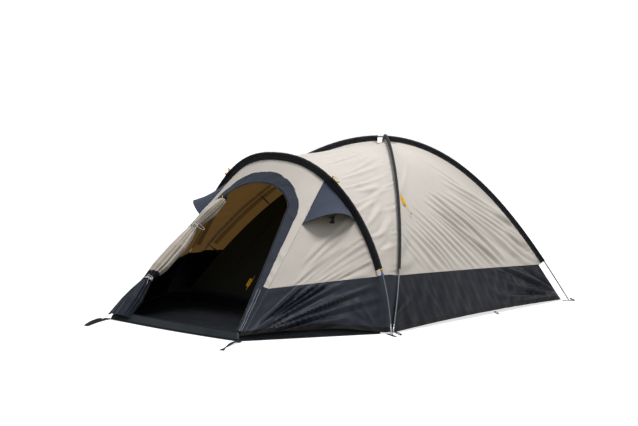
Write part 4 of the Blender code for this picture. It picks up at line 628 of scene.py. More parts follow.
class Finish:
    """A Principled material that is built up node by node."""

    def __init__(self, name, colour, roughness, metallic=0.0, sheen=0.0, specular=0.5):
        self.material = bpy.data.materials.new(name)
        self.material.use_nodes = True
        self.tree = self.material.node_tree
        self.shader = self.tree.nodes["Principled BSDF"]
        self.colour = (*colour, 1)
        self.set(self.shader, {
            "Base Color": self.colour, "Roughness": roughness, "Metallic": metallic, "Sheen Weight": sheen,
            "Sheen Roughness": 0.5, "Specular IOR Level": specular,
        })
        self.material.diffuse_color = self.colour
        self.height = None
        self.last_colour = None

    def set(self, node, values):
        for socket, value in values.items():
            node.inputs[socket].default_value = value

    def node(self, kind, inputs=None, **settings):
        n = self.tree.nodes.new(kind)
        for key, value in settings.items():
            setattr(n, key, value)
        self.set(n, inputs or {})
        return n

    def link(self, a, b):
        self.tree.links.new(a, b)

    def place(self):
        return self.node("ShaderNodeTexCoord").outputs["Object"]

    def noise(self, scale, detail=3.0, roughness=0.55, stretch=None):
        n = self.node("ShaderNodeTexNoise", {"Scale": scale, "Detail": detail, "Roughness": roughness})
        source = self.place()
        if stretch:
            mapping = self.node("ShaderNodeMapping", {"Scale": stretch})
            self.link(source, mapping.inputs["Vector"])
            source = mapping.outputs[0]
        self.link(source, n.inputs["Vector"])
        return n.outputs["Fac"]

    def ribs(self, scale, **inputs):
        """Slanting ribs, this many to the metre."""
        n = self.node("ShaderNodeTexWave", {"Scale": scale, **inputs}, bands_direction="DIAGONAL")
        self.link(self.place(), n.inputs["Vector"])
        return n.outputs["Fac"]

    def spread(self, value, low, high):
        limits = {"From Min": 0.3, "From Max": 0.7, "To Min": low, "To Max": high}
        n = self.node("ShaderNodeMapRange", limits)
        self.link(value, n.inputs["Value"])
        return n.outputs[0]

    def roughness(self, scale, low, high, detail=4.0):
        """Roughness that changes from place to place."""
        self.link(self.spread(self.noise(scale, detail), low, high), self.shader.inputs["Roughness"])

    def tint(self, mask, colour):
        """Mixes another colour in where the mask is high."""
        n = self.node("ShaderNodeMix", {"B": (*colour, 1)}, data_type="RGBA")
        if self.last_colour is None:
            n.inputs["A"].default_value = self.colour
        else:
            self.link(self.last_colour, n.inputs["A"])
        self.link(mask, n.inputs["Factor"])
        self.last_colour = n.outputs["Result"]
        self.link(self.last_colour, self.shader.inputs["Base Color"])

    def bump(self, value, distance, strength=1.0):
        n = self.node("ShaderNodeBump", {"Strength": strength, "Distance": distance})
        self.link(value, n.inputs["Height"])
        if self.height is not None:
            self.link(self.height, n.inputs["Normal"])
        self.height = n.outputs["Normal"]
        self.link(self.height, self.shader.inputs["Normal"])

    def weave(self, threads, distance, strength=0.6):
        """A plain weave, with this many threads to the metre along the piece's own UVs."""
        uv = self.node("ShaderNodeUVMap", uv_map="cloth")
        split = self.node("ShaderNodeSeparateXYZ")
        self.link(uv.outputs[0], split.inputs[0])
        sines = []
        for axis in "XY":
            turns = self.node("ShaderNodeMath", {1: math.pi * threads}, operation="MULTIPLY")
            self.link(split.outputs[axis], turns.inputs[0])
            sine = self.node("ShaderNodeMath", operation="SINE")
            self.link(turns.outputs[0], sine.inputs[0])
            sines.append(sine.outputs[0])
        crossing = self.node("ShaderNodeMath", operation="MULTIPLY")
        for k in (0, 1):
            self.link(sines[k], crossing.inputs[k])
        self.bump(crossing.outputs[0], distance, strength)
        return crossing.outputs[0]


CANVAS_THREADS = 1500
COATED_THREADS = 2200
NET_THREADS = 420


def canvas(name, colour, shade, light, roughness=0.85, sheen=0.15, glow=0.0, specular=0.12):
    """A woven cloth with uneven colour, soft mottling and a plain weave; glow is painted light, standing in
    for daylight through the cloth.
    """
    f = Finish(name, colour, roughness, sheen=sheen, specular=specular)
    f.tint(f.spread(f.noise(2.2, 2.0), 0.0, 0.55), shade)
    f.tint(f.spread(f.noise(9.0, 4.0, 0.6), 0.0, 0.35), light)
    f.tint(f.spread(f.noise(160.0, 2.0, 0.7, stretch=(1, 1, 0.25)), 0.0, 0.16), shade)
    if glow:
        f.shader.inputs["Emission Strength"].default_value = glow
        f.link(f.last_colour, f.shader.inputs["Emission Color"])
    f.weave(CANVAS_THREADS, 0.00012)
    f.bump(f.noise(260.0, 3.0), 0.0002, 0.25)
    return f.material


def coated(name, colour, shade, light, roughness=0.5, specular=0.12):
    """A coated cloth: fine weave, soft shine, and small creases; its shade and light colours, scattered by
    noise, are partly painted shade and painted highlights.
    """
    f = Finish(name, colour, roughness, specular=specular)
    # shade and light colours scattered by noise: partly uneven tone, partly painted shade and painted
    # highlights
    f.tint(f.spread(f.noise(3.0, 2.0), 0.0, 0.6), shade)
    f.tint(f.spread(f.noise(14.0, 5.0, 0.65), 0.0, 0.30), light)
    f.roughness(6.0, roughness - 0.07, roughness + 0.12)
    f.weave(COATED_THREADS, 0.00008, 0.5)
    f.bump(f.noise(45.0, 4.0, 0.6), 0.0006, 0.35)
    return f.material


STIFF = {"roughness": 0.8, "sheen": 0.05}


def materials():
    """Every finish by the short name that the pieces use; a cloth has a plain, a shade and a light colour."""
    m = {}
    for key, name, colour, shade, light, settings in (
        ("fly", "fly_canvas", (0.66, 0.615, 0.56), (0.59, 0.54, 0.475), (0.71, 0.675, 0.63), {"sheen": 0.05}),
        # fly_inside: the beige fly seen from inside, painted brown as painted shade with daylight through the
        # cloth; its glow is painted light
        ("fly_inside", "fly_canvas_inside_painted_backlight", (0.48, 0.27, 0.080), (0.36, 0.20, 0.058), (0.55, 0.32, 0.105),
         {"glow": 0.15}),
        ("slate", "slate_canvas", (0.040, 0.047, 0.066), (0.028, 0.033, 0.047), (0.060, 0.070, 0.098), STIFF),
        # hood: a lighter copy of the slate cloth, painted light on the hood's lit faces
        ("hood", "hood_canvas_painted_light", (0.055, 0.065, 0.096), (0.038, 0.045, 0.067), (0.078, 0.093, 0.135), STIFF),
        # sleeve: its light colour, scattered by noise, is a painted highlight
        ("sleeve", "sleeve_cloth_woven", (0.025, 0.0265, 0.032), (0.017, 0.018, 0.022),
         (0.046, 0.050, 0.062), STIFF),
        # binding: the seam tape together with the sleeves' shadow seen through the fly, so partly painted
        # shadow; its glow is painted light
        ("binding", "seam_binding_and_painted_shadow", (0.24, 0.15, 0.052), (0.19, 0.115, 0.040), (0.29, 0.185, 0.070),
         {"glow": 0.10}),
        ("sleeve_inside", "sleeve_lining", (0.09, 0.065, 0.035), (0.06, 0.042, 0.022),
         (0.11, 0.08, 0.045), {}),
        ("inner", "inner_cloth_woven", (0.040, 0.050, 0.046), (0.030, 0.038, 0.035), (0.055, 0.068, 0.062),
         {"roughness": 0.9, "sheen": 0.0, "specular": 0.04}),
        # flap: its glow is painted light, and its brownish shade colour is partly painted shade of the
        # gathers
        ("flap", "flap_canvas", (0.64, 0.585, 0.52), (0.52, 0.455, 0.36), (0.72, 0.68, 0.63), {"glow": 0.03}),
        # groove: painted shade, the dark brown laid in the deep grooves of the door's pleats
        ("groove_painted_shade", "flap_groove_painted_shade", (0.20, 0.145, 0.065), (0.13, 0.095, 0.040), (0.26, 0.20, 0.10), {}),
    ):
        m[key] = canvas(name, colour, shade, light, **settings)
    for key, name, colour, shade, light, settings in (
        ("skirt", "skirt_coated", (0.0078, 0.0100, 0.0155), (0.0048, 0.0062, 0.0095), (0.014, 0.018, 0.030),
         {"roughness": 0.42, "specular": 0.07}),
        # skirt_porch: a lighter copy of the skirt's cloth, painted light where the porch skirt faces the
        # light; its light colour is a painted highlight
        ("skirt_porch", "skirt_coated_porch_painted_light", (0.019, 0.023, 0.033), (0.011, 0.0135, 0.019),
         (0.048, 0.058, 0.082), {"roughness": 0.40}),
        # skirt_inside: the skirt's inside painted near black, as painted shade inside the tent
        ("skirt_inside", "skirt_coated_inside_painted_shade", (0.0040, 0.0045, 0.0045), (0.0030, 0.0034, 0.0032),
         (0.006, 0.0065, 0.007), {"roughness": 0.9, "specular": 0.03}),
        ("ground", "groundsheet_coated", (0.010, 0.0125, 0.0165), (0.005, 0.006, 0.008),
         (0.026, 0.033, 0.043), {}),
        ("sill", "groundsheet_wall", (0.022, 0.027, 0.032), (0.009, 0.012, 0.014), (0.060, 0.076, 0.092), {}),
    ):
        m[key] = coated(name, colour, shade, light, **settings)
    m["mesh"] = net()
    m["webbing"] = ribbed("webbing_woven", (0.007, 0.007, 0.008), (0.016, 0.016, 0.018))
    m["tape"] = ribbed("zip_tape", (0.012, 0.013, 0.016), (0.028, 0.030, 0.036))
    m["piping"] = ribbed("piping_tape", (0.30, 0.31, 0.33), (0.42, 0.43, 0.45))
    # the yellow cord's glow is painted light
    m["yellow"] = braid("cord_yellow", (0.93, 0.56, 0.012), (0.70, 0.36, 0.006), 0.12)
    m["pale"] = braid("cord_pale", (0.62, 0.60, 0.56), (0.40, 0.38, 0.34))
    m["pole"] = metal("pole_anodised", (0.125, 0.13, 0.14), 0.36)
    m["tip"] = metal("tip_bright", (0.30, 0.31, 0.32), 0.32)
    m["plastic"] = plastic("plastic_moulded", (0.018, 0.019, 0.021), 0.42)
    m["blue"] = plastic("toggle_blue", (0.02, 0.10, 0.42), 0.4)
    return m


def net():
    """A fine insect net: dark threads with a lattice of holes painted in."""
    f = Finish("insect_net", (0.012, 0.012, 0.013), 0.8, sheen=0.2)
    crossing = f.weave(NET_THREADS, 0.0003)
    f.tint(f.spread(crossing, 0.0, 0.7), (0.035, 0.035, 0.038))
    f.bump(f.noise(30.0), 0.001, 0.3)
    return f.material


def ribbed(name, colour, light):
    """Woven tape: ribs across it and a little fuzz."""
    f = Finish(name, colour, 0.8, sheen=0.05, specular=0.15)
    f.tint(f.spread(f.noise(60.0, 4.0), 0.0, 0.6), light)
    f.tint(f.spread(f.noise(900.0, 2.0), 0.0, 0.4), colour)
    f.bump(f.ribs(120.0), 0.0003, 0.6)
    f.bump(f.noise(1200.0), 0.0001, 0.4)
    return f.material


def braid(name, colour, shade, glow=0.0):
    """A braided cord: slanting strands with painted shade in the grooves between them; glow is painted light
    that keeps a bright cord bright in shade.
    """
    f = Finish(name, colour, 0.6, sheen=0.3, specular=0.35)
    f.set(f.shader, {"Emission Color": (*colour, 1), "Emission Strength": glow})
    strands = f.ribs(260.0, Distortion=1.0)
    # painted shade in the grooves between the strands
    f.tint(f.spread(strands, 0.5, 0.0), shade)
    f.tint(f.spread(f.noise(25.0), 0.0, 0.25), shade)
    f.bump(strands, 0.0003, 0.7)
    return f.material


def metal(name, colour, roughness):
    """Drawn metal: fine lines, slight wear and smudges."""
    f = Finish(name, colour, roughness, metallic=1.0)
    f.tint(f.spread(f.noise(40.0, 5.0, 0.7), 0.0, 0.35), tuple(c * 0.7 for c in colour))
    f.tint(f.spread(f.noise(8.0, 3.0), 0.0, 0.2), tuple(min(1, c * 1.4) for c in colour))
    f.roughness(70.0, roughness - 0.06, roughness + 0.14)
    f.bump(f.noise(500.0, 2.0), 0.00003, 0.5)
    return f.material


def plastic(name, colour, roughness):
    """Moulded plastic with a fine grain and paler rubbed places."""
    f = Finish(name, colour, roughness)
    f.tint(f.spread(f.noise(50.0, 4.0), 0.0, 0.3), tuple(c * 1.8 for c in colour))
    f.roughness(90.0, roughness - 0.05, roughness + 0.12, 3.0)
    f.bump(f.noise(700.0, 2.0), 0.00005, 0.5)
    return f.material


# Cords


def hank_place(turn, radius, straight):
    share = (turn % 1.0) * HANK_POINTS
    bend = HANK_POINTS // 2 - 2
    if share <= 1:
        across, along = radius, straight * share
    elif share <= 1 + bend:
        a = math.pi * (share - 1) / bend
        across, along = radius * math.cos(a), straight + radius * math.sin(a)
    elif share <= 3 + bend:
        across, along = -radius, straight * (2 + bend - share)
    elif share <= 3 + 2 * bend:
        a = math.pi * (share - 3 - bend) / bend
        across, along = -radius * math.cos(a), -straight - radius * math.sin(a)
    else:
        across, along = radius, straight * (share - HANK_POINTS)
    drawn_in = HANK_WAIST * max(0.0, 1 - abs(along) / straight)
    return across - math.copysign(drawn_in, across), along


def hank_route(turns, half_length, half_width, pitch):
    straight = half_length - half_width
    route = [(half_width, -straight, 0.0)]
    for k in range(turns * HANK_POINTS + 1):
        turn = k / HANK_POINTS
        radius = half_width - pitch * min(turn, turns - turn)
        climb = min(1.0, max(0.0, (turn - turns / 2 + 0.25) / 0.5))
        route.append((*hank_place(turn, radius, straight), pitch * climb))
    return route + [(half_width, straight, pitch)]


def hermite(a, b, dir_a, dir_b, count):
    reach = np.linalg.norm(b - a)
    points = []
    for k in range(count + 1):
        t = k / count
        points.append(
            a * (2 * t ** 3 - 3 * t ** 2 + 1) + b * (3 * t ** 2 - 2 * t ** 3)
            + dir_a * reach * (t ** 3 - 2 * t ** 2 + t) + dir_b * reach * (t ** 3 - t ** 2)
        )
    return points


def smooth_line(points, parts):
    """The same line with this many parts to each of its steps, rounded through its own points."""
    p = np.asarray(points, float)
    p = np.concatenate([[2 * p[0] - p[1]], p, [2 * p[-1] - p[-2]]])
    out = []
    for a, b, c, d in zip(p, p[1:], p[2:], p[3:]):
        for k in range(parts):
            t = k / parts
            out.append(0.5 * (2 * b + (c - a) * t + (2 * a - 5 * b + 4 * c - d) * t ** 2
                              + (3 * b - a - 3 * c + d) * t ** 3))
    out.append(p[-2])
    return np.array(out)


def side_edge(side, y_end, count):
    """The frame's own few points down a side panel's edge, from the crown to the seam."""
    arch, sign = ridge_of(side, y_end)
    web = web_side(arch, vec(side, 0, 0))
    seam = SEAM_REAR_CORNER if y_end == "rear" else SEAM_FRONT_CORNER
    u = sleeve_u(arch, sign, SLEEVE_END_HEIGHT, CROWN_U, np.arange(count + 1) / count)
    u = np.append(u[::-1], arch.u_at(seam, sign))
    return arch.ridge(u, web)


def side_panel_place(side, y, z):
    """The outer side of a long side's light cloth above a place, and its outward direction."""
    a, b = side_edge(side, "front", MAIN_STEPS), side_edge(side, "rear", MAIN_STEPS)
    rows = len(a) - 1
    t = np.linspace(0, 1, 9)[None, :, None]
    depth = (SIDE_SAG * np.arange(rows + 1) / rows)[:, None, None]
    upper = lerp(a[:, None], b[:, None], t) - vec(side, 0, 0) * depth * 4 * t * (1 - t)
    if side == LEFT:
        upper = upper[:, ::-1]
    best = None
    quarters = (0.0, 0.25, 0.5, 0.75)
    for i in range(upper.shape[0] - 1):
        for j in range(upper.shape[1] - 1):
            p, q, r, s = upper[i, j], upper[i, j + 1], upper[i + 1, j], upper[i + 1, j + 1]
            n = np.cross(r - p, q - p)
            outward = unit(n) if n[0] * side > 0 else -unit(n)
            for down in quarters:
                for across in quarters:
                    place = lerp(lerp(p, q, across), lerp(r, s, across), down)
                    gap = math.hypot(place[1] - y, place[2] - z)
                    if best is None or gap < best[0]:
                        best = (gap, place, outward)
    _, place, outward = best
    slope = outward[1:] @ np.array([place[1] - y, place[2] - z]) / outward[0]
    return vec(place[0] + slope, y, z) + outward * FRAME_CLOTH, outward


def chord_place(arch, sign, u):
    """The pole's middle and its outward direction between two of the sleeve's stations."""
    top, steps = (0.0, HOOP_STEPS) if arch is HOOP else (CROWN_U, MAIN_STEPS)
    stations = sleeve_u(arch, 1, SLEEVE_END_HEIGHT, top, np.arange(steps + 1) / steps)
    k = int(np.searchsorted(-stations, -abs(u)))
    a, b = stations[k - 1], stations[k]
    t = (a - abs(u)) / (a - b)
    return lerp(arch.point(sign * a), arch.point(sign * b), t), \
        unit(lerp(arch.outward(sign * a), arch.outward(sign * b), t))


def hank(loops, length, width, base, across, along, outward):
    """A made-up hank, laid flat on a cloth."""
    offsets = hank_route(loops, length / 2, width / 2, CORD_DIAMETER + CORD_GAP)
    return [base + across * a + along * b + outward * c for a, b, c in offsets]


def guyline_path(side):
    arch, sign = ridge_of(side, "front")
    u = arch.u_at(GUY_TAB_HEIGHT, sign)
    web = web_side(arch, vec(side, 0, 0))
    radius = CORD_DIAMETER / 2
    start = chord_place(arch, sign, u)[0] + arch.side * web * (SLEEVE_FLAT + GAP + radius)
    centre, outward = side_panel_place(side, start[1], start[2] - LEAD_LENGTH)
    along = unit(-UP + outward * (outward @ UP))
    across = np.cross(outward, along)
    across = across if across[1] > 0 else -across
    base = centre + outward * (CORD_LIFT + radius)
    loops = hank(HANK_LOOPS, HANK_LENGTH, HANK_WIDTH, base, across, along, outward)
    lead = hermite(start, loops[0], -UP, along, LEAD_STEPS)
    return np.array(lead[:-1] + loops + [loops[-1] + along * TAIL_LENGTH])


def inner_ridge(side, end, w):
    peak = PEAK - UP * INNER_PEAK_DROP
    corner = vec(side * INNER_WIDTH / 2, PEAK[1] + end * INNER_LENGTH / 2, TUB_WALL + GAP)
    w = np.asarray(w, float)[..., None]
    plan = lerp(peak, corner, w)
    height = lerp(peak[2], corner[2], w[..., 0] ** INNER_ROUNDNESS)
    return np.concatenate([plan[..., :2], height[..., None]], axis=-1)


INNER_CORNERS = [(LEFT, -1), (RIGHT, -1), (RIGHT, 1), (LEFT, 1)]
INNER_ROWS = 9
INNER_COLUMNS = 7


def inner_face_point(face, w, t):
    """A place on one of the inner tent's four faces; the first is the front."""
    a = inner_ridge(*INNER_CORNERS[face], w)
    b = inner_ridge(*INNER_CORNERS[(face + 1) % 4], w)
    inward = flat(vec(0, PEAK[1], 0) - lerp(a, b, 0.5))
    t, w = np.asarray(t, float)[..., None], np.asarray(w, float)[..., None]
    return lerp(a, b, t) + inward * INNER_SAG * 4 * t * (1 - t) * 4 * w * (1 - w)


def inner_hank_path():
    """The small hank on the inner tent's front, with a tail at each end."""
    above, below = (lerp(INNER_TOP_SHARE, 1.0, k / INNER_ROWS) for k in (INNER_ROWS - 1, INNER_ROWS))
    t = 2 / INNER_COLUMNS
    high, low = inner_face_point(0, above, t), inner_face_point(0, below, t)
    place = lerp(high, low, INNER_HANK_SHARE)
    down = unit(low - high)
    across = unit(inner_face_point(0, below, t + 1 / INNER_COLUMNS) - low)
    across = unit(across - down * (across @ down))
    outward = np.cross(down, across)
    outward = outward if outward[1] < 0 else -outward
    base = place + outward * (GAP + CORD_DIAMETER / 2)
    loops = hank(INNER_HANK_LOOPS, INNER_HANK_LENGTH, INNER_HANK_WIDTH, base, across, down, outward)
    return np.array([loops[0] - down * INNER_HANK_TAIL, *loops, loops[-1] + down * INNER_HANK_TAIL])


def lay_cord(name, path, material, node, **ties):
    """A round cord through the frame's own cord's points."""
    line = smooth_line(path, 3)
    obj = tube(name, line, CORD_DIAMETER / 2, material)
    finish_piece(obj, [node])


def cords(m):
    for side, name in SIDES:
        lay_cord(f"guyline_{name}_cord", guyline_path(side), m["yellow"], f"guyline_{name}",
                 with_pieces=[f"guyline_runner_{name}"])
    lay_cord("inner_cord", inner_hank_path(), m["yellow"], "inner_cord_hank")


# Cloth of the dome

LIFT = 0.0015
SKIRT_LIFT = LIFT - 0.0004
SEAM_DIP = 0.0012
HEM_REST = 0.0055
HEM_ARCH = 0.016
HEM_THICK = 0.0009
WEB_LAP = 0.0185
LAP_REACH = 0.04
ROOF_SAG = 0.010


def sheet_size(grid):
    """A panel's longest width and length, and its flat area."""
    across = np.linalg.norm(np.diff(grid, axis=1), axis=2).sum(axis=1).max()
    down = np.linalg.norm(np.diff(grid, axis=0), axis=2).sum(axis=0).max()
    a = np.cross(grid[1:, :-1] - grid[:-1, :-1], grid[:-1, 1:] - grid[:-1, :-1])
    b = np.cross(grid[1:, :-1] - grid[1:, 1:], grid[:-1, 1:] - grid[1:, 1:])
    area = (np.linalg.norm(a, axis=2).sum() + np.linalg.norm(b, axis=2).sum()) / 2
    return (float(across), float(down)), float(area)


def stretched(grid):
    """Works out a cloth panel's flat size and area, the size it was cut to; nothing uses them."""
    size, area = sheet_size(grid)
    if area < 0.35 * size[0] * size[1]:
        size = (area / max(size), max(size))


def panel(node, grid, out, kinds, patch=None):
    """A stretched cloth that stands in for one of the frame's panels."""
    obj = cloth(f"{node}_cloth", grid, out, kinds, patch=patch)
    finish_piece(obj, [node])
    stretched(grid)


def edge_distance(grid):
    """Each place's distance along the grid from its first and from its last column."""
    along = run_lengths(grid, 1)
    return along, along[:, -1:] - along


def puckers(grid, rng, size=0.034, height=0.0030, reach=0.045):
    """Short tucks beside the two long edges, where the cloth is sewn to a stiff sleeve."""
    down = run_lengths(grid, 0)
    first, last = edge_distance(grid)
    total = np.zeros(first.shape)
    for away, edge in ((first, down[:, :1]), (last, down[:, -1:])):
        phase = rng.uniform(0, 6.3)
        beat = 0.55 + 0.45 * np.sin(edge * 2 * math.pi / 0.23 + rng.uniform(0, 6.3))
        wave = np.sin(edge * 2 * math.pi / size + 2.2 * np.sin(edge * 2 * math.pi / 0.31) + phase)
        local = reach * (0.7 + 0.5 * np.sin(edge * 2 * math.pi / 0.17 + phase))
        total += height * beat * wave * np.exp(-away / np.maximum(local, 0.01)) * (1 - np.exp(-away / 0.004))
    return total * edge_fade(total.shape, 0.08, 0)


def raised(grid, out, height):
    return grid + out * height[..., None]


def web_lap(arch, u, near):
    """How far each place of a pole's ridge is drawn up its sleeve's web, as directions."""
    height = arch.ridge(u, 0)[:, 2]
    share = np.clip((height - near) / 0.05, 0, 1) * np.clip((abs(u) - CROWN_U) / 0.03, 0, 1)
    return arch.outward(u) * (WEB_LAP * share)[:, None]


def dome_side_lines(rng):
    """Folds of a long side's light cloth in (y, z): long slanting ones that run down to its rear."""
    slant = math.radians(30)
    across, along = vec(math.sin(slant), math.cos(slant)), vec(math.cos(slant), -math.sin(slant))
    lines = []
    for k in range(21):
        t = (k + rng.uniform(-0.25, 0.25)) / 20
        middle = across * lerp(0.26, 1.12, t) + along * (lerp(-0.25, 0.80, t) + rng.uniform(-0.08, 0.08))
        half = lerp(0.24, 0.60, t) * rng.uniform(0.75, 1.15)
        a = math.radians(lerp(43, 24, t) + rng.uniform(-3, 3))
        reach = vec(math.cos(a), -math.sin(a)) * half
        height = lerp(0.0055, 0.0155, min(1.0, 1.6 * t)) * rng.uniform(0.6, 1.1)
        lines.append((tuple(middle - reach), tuple(middle + reach), 0.019 * rng.uniform(0.8, 1.3), height))
    lines += fans(rng, "side")
    lines += [((0.40, 0.93), (-0.30, 0.62), 0.02, 0.003), ((0.62, 0.93), (1.02, 0.70), 0.016, 0.004)]
    return lines


def skirt_lines(rng, place):
    """Folds of a skirt: fans from its two lower corners, with a few faint upright ones."""
    lines = fans(rng, place)
    rear, front = (row[0][0] for row in FANS[place])
    for _ in range(3):
        y = front + (rear - front) * rng.uniform(0.2, 0.8)
        lines.append(((y, 0.06), (y - 0.10, 0.20), 0.020, rng.uniform(0.001, 0.002)))
    return lines


def dome_fold_lines(rng, plan_axis):
    """Folds of a panel's light cloth and of its skirt, as (along the ground, up)."""
    if plan_axis == 1:
        return dome_side_lines(rng), skirt_lines(rng, "side_skirt")
    return fans(rng, "rear"), skirt_lines(rng, "rear_skirt")


def dome_grids(corners, outward, sag, rows, low_rows, cols):
    """A panel's smooth light cloth and skirt, and its light cloth's laps along its two long edges."""
    upper_edges, lower_edges, laps = [], [], []
    heights = {"rear": (SEAM_REAR_CORNER, HEM_REAR_CORNER), "front": (SEAM_FRONT_CORNER, HEM_FRONT_CORNER)}
    for side, y_end in corners:
        arch, sign = ridge_of(side, y_end)
        web = web_side(arch, outward)
        seam, hem = heights[y_end]
        u = sleeve_u(arch, sign, seam, CROWN_U, 1 - np.linspace(0, 1, rows + 1))
        upper_edges.append(arch.ridge(u, web))
        laps.append(web_lap(arch, u, seam))
        ends = arch.ridge(np.array([arch.u_at(seam, sign), arch.u_at(hem, sign)]), web)
        reach = (seam - HEM_REST) / (seam - hem)
        lower_edges.append(lerp(ends[0], ends[1], np.linspace(0, reach, low_rows + 1)[:, None]))
    t = np.linspace(0, 1, cols + 1)[None, :, None]
    share = np.linspace(0, 1, rows + 1)[:, None, None]
    upper = lerp(upper_edges[0][:, None], upper_edges[1][:, None], t)
    upper = upper - outward * sag * share * 4 * t * (1 - t)
    share = np.linspace(0, 1, low_rows + 1)[:, None, None]
    lower = lerp(lower_edges[0][:, None], lower_edges[1][:, None], t)
    lower = lower - outward * sag * (1 - share) * 4 * t * (1 - t)
    lower = lower + UP * HEM_ARCH * share ** 2 * 4 * t * (1 - t)
    return upper, lower, laps


def dome_panel(name, corners, outward, sag, plan_axis, seed, m):
    """The light upper cloth and the dark skirt between two corners of the dome."""
    rng = np.random.default_rng(seed)
    upper, lower, laps = dome_grids(corners, outward, sag, 110, 30, 220)
    turn = 1 if plan_axis == 1 else outward[1]
    up_lines, low_lines = dome_fold_lines(rng, plan_axis)

    x, z = upper[..., plan_axis] * turn, upper[..., 2]
    height = strokes(x, z, up_lines) + ripple(x, z, rng, 0.30, 0.0016)
    height = height * edge_fade(upper.shape, 0.05, 0.02) + puckers(upper, rng)
    out = facing(upper, outward)
    first, last = (np.exp(-near / LAP_REACH)[..., None] for near in edge_distance(upper))
    upper = raised(upper, out, LIFT + height) + (laps[0][:, None] * first + laps[1][:, None] * last)

    x, z = lower[..., plan_axis] * turn, lower[..., 2]
    height = strokes(x, z, low_lines) + ripple(x, z, rng, 0.10, 0.0014)
    fall = np.linspace(0, 1, len(lower))[:, None]
    hem_wave = ripple(x, z * 0.2, rng, 0.16, 0.0030)
    height = height * edge_fade(lower.shape, 0, 0.02) * np.clip(fall / 0.10, 0, 1)
    height += hem_wave * fall ** 2 * edge_fade(lower.shape, 0, 0.05)
    height = SKIRT_LIFT + height + np.where(fall > 0.87, HEM_THICK, 0.0) - np.exp(-fall / 0.05) * SEAM_DIP
    out_low = facing(lower, outward)
    lower = raised(lower, out_low, height)
    tuck = lower[:1] + (upper[-2:-1] - upper[-1:]) * 0.9 - out[-1:] * 0.0014
    lower, out_low = np.concatenate([tuck, lower]), np.concatenate([out[-1:], out_low])

    panel(f"fly_{name}", upper, out, [m["fly"], m["fly_inside"]])
    # The skirt's lowest rows in dark webbing: a hem tape, and partly painted shade under the lifted hem.
    hem = np.zeros(lower.shape[:2], bool)
    hem[-4:] = True
    kinds = [m["skirt"], m["skirt_inside"], m["webbing"]]
    panel(f"skirt_{name}", lower, out_low, kinds, hem)


def crown_patch(m):
    """The four-cornered patch under the crossing, sewn to the four panels."""
    corners = []
    for side, y_end in ((RIGHT, "front"), (RIGHT, "rear"), (LEFT, "rear"), (LEFT, "front")):
        arch, sign = ridge_of(side, y_end)
        corners.append(arch.ridge(np.array(sign * CROWN_U), 0))
    s, t = np.linspace(-0.04, 1.04, 19)[:, None, None], np.linspace(-0.04, 1.04, 19)[None, :, None]
    grid = lerp(lerp(corners[0], corners[1], s), lerp(corners[3], corners[2], s), t)
    grid = grid + UP * (0.0035 + 0.002 * (4 * s * (1 - s)) * (4 * t * (1 - t)))
    out = np.broadcast_to(UP, grid.shape)
    panel("crown_patch", grid, out, [m["slate"], m["fly_inside"]])


def hoop_u(k):
    """The hoop's u at a station: 0 at the seam, 1 at its sleeve's lower end, 15 at its top."""
    k = np.asarray(k, float)
    low = HOOP.u_at(SLEEVE_END_HEIGHT, 1)
    seam = HOOP.u_at(SEAM_FRONT_CORNER, 1)
    upper = np.sin(lerp(math.asin(low), 0.0, np.clip(k - 1, 0, HOOP_STEPS) / HOOP_STEPS))
    return np.where(k < 1, lerp(seam, low, k), upper)


def roof_edges(half_cols, gap_count):
    """The roof's edges on the hoop and on the main poles, from seam to seam, and its lap up their webs."""
    hoop_web = web_side(HOOP, vec(0, 1, 0))
    near, far, laps = [], [], []
    for side in (RIGHT, LEFT):
        arch, sign = ridge_of(side, "front")
        k = np.linspace(0, MAIN_STEPS + 1, half_cols)
        seam = arch.u_at(SEAM_FRONT_CORNER, sign)
        low = abs(arch.u_at(SLEEVE_END_HEIGHT, sign))
        turn = lerp(math.asin(low), math.asin(CROWN_U), np.clip(k - 1, 0, MAIN_STEPS) / MAIN_STEPS)
        u = np.where(k < 1, lerp(seam, sign * low, k), sign * np.sin(turn))
        near.append(HOOP.ridge(-side * hoop_u(k), hoop_web))
        far.append(arch.ridge(u, web_side(arch, vec(0, -1, 0))))
        laps.append(web_lap(arch, u, SEAM_FRONT_CORNER))
    ends = far[0][-1], far[1][-1]
    crown = (ends[0] + ends[1]) / 2
    low_turn = math.asin(float(hoop_u(HOOP_STEPS)))
    over_hoop, over_crown = [], []
    for k in range(1, gap_count):
        t = 2 * k / gap_count
        if t <= 1:
            turn, place = lerp(-low_turn, 0.0, t), lerp(ends[0], crown, t)
        else:
            turn, place = lerp(0.0, low_turn, t - 1), lerp(crown, ends[1], t - 1)
        over_hoop.append(HOOP.ridge(np.array(np.sin(turn)), hoop_web))
        over_crown.append(place)
    near = np.concatenate([near[0], over_hoop, near[1][::-1]])
    far = np.concatenate([far[0], over_crown, far[1][::-1]])
    return near, far, np.concatenate([laps[0], np.zeros((gap_count - 1, 3)), laps[1][::-1]])


def roof_lines(rng, along, width):
    """Folds that run back from the hoop on both slopes of the roof."""
    lines = []
    for mirror in (False, True):
        for step in range(15):
            place = lerp(0.10, 1.10, (step + rng.uniform(0, 0.7)) / 15)
            deep = float(np.interp(place, along, width))
            lean = rng.uniform(0.00, 0.07)
            start, end = rng.uniform(-0.1, 0.35) * deep, deep * rng.uniform(0.75, 1.15)
            a, b = (place - lean, start), (place + lean, end)
            if mirror:
                a, b = (float(along[-1]) - a[0], start), (float(along[-1]) - b[0], end)
            lines.append((a, b, 0.015 * rng.uniform(0.7, 1.5), 0.0100 * rng.uniform(0.3, 1.0)))
    return lines


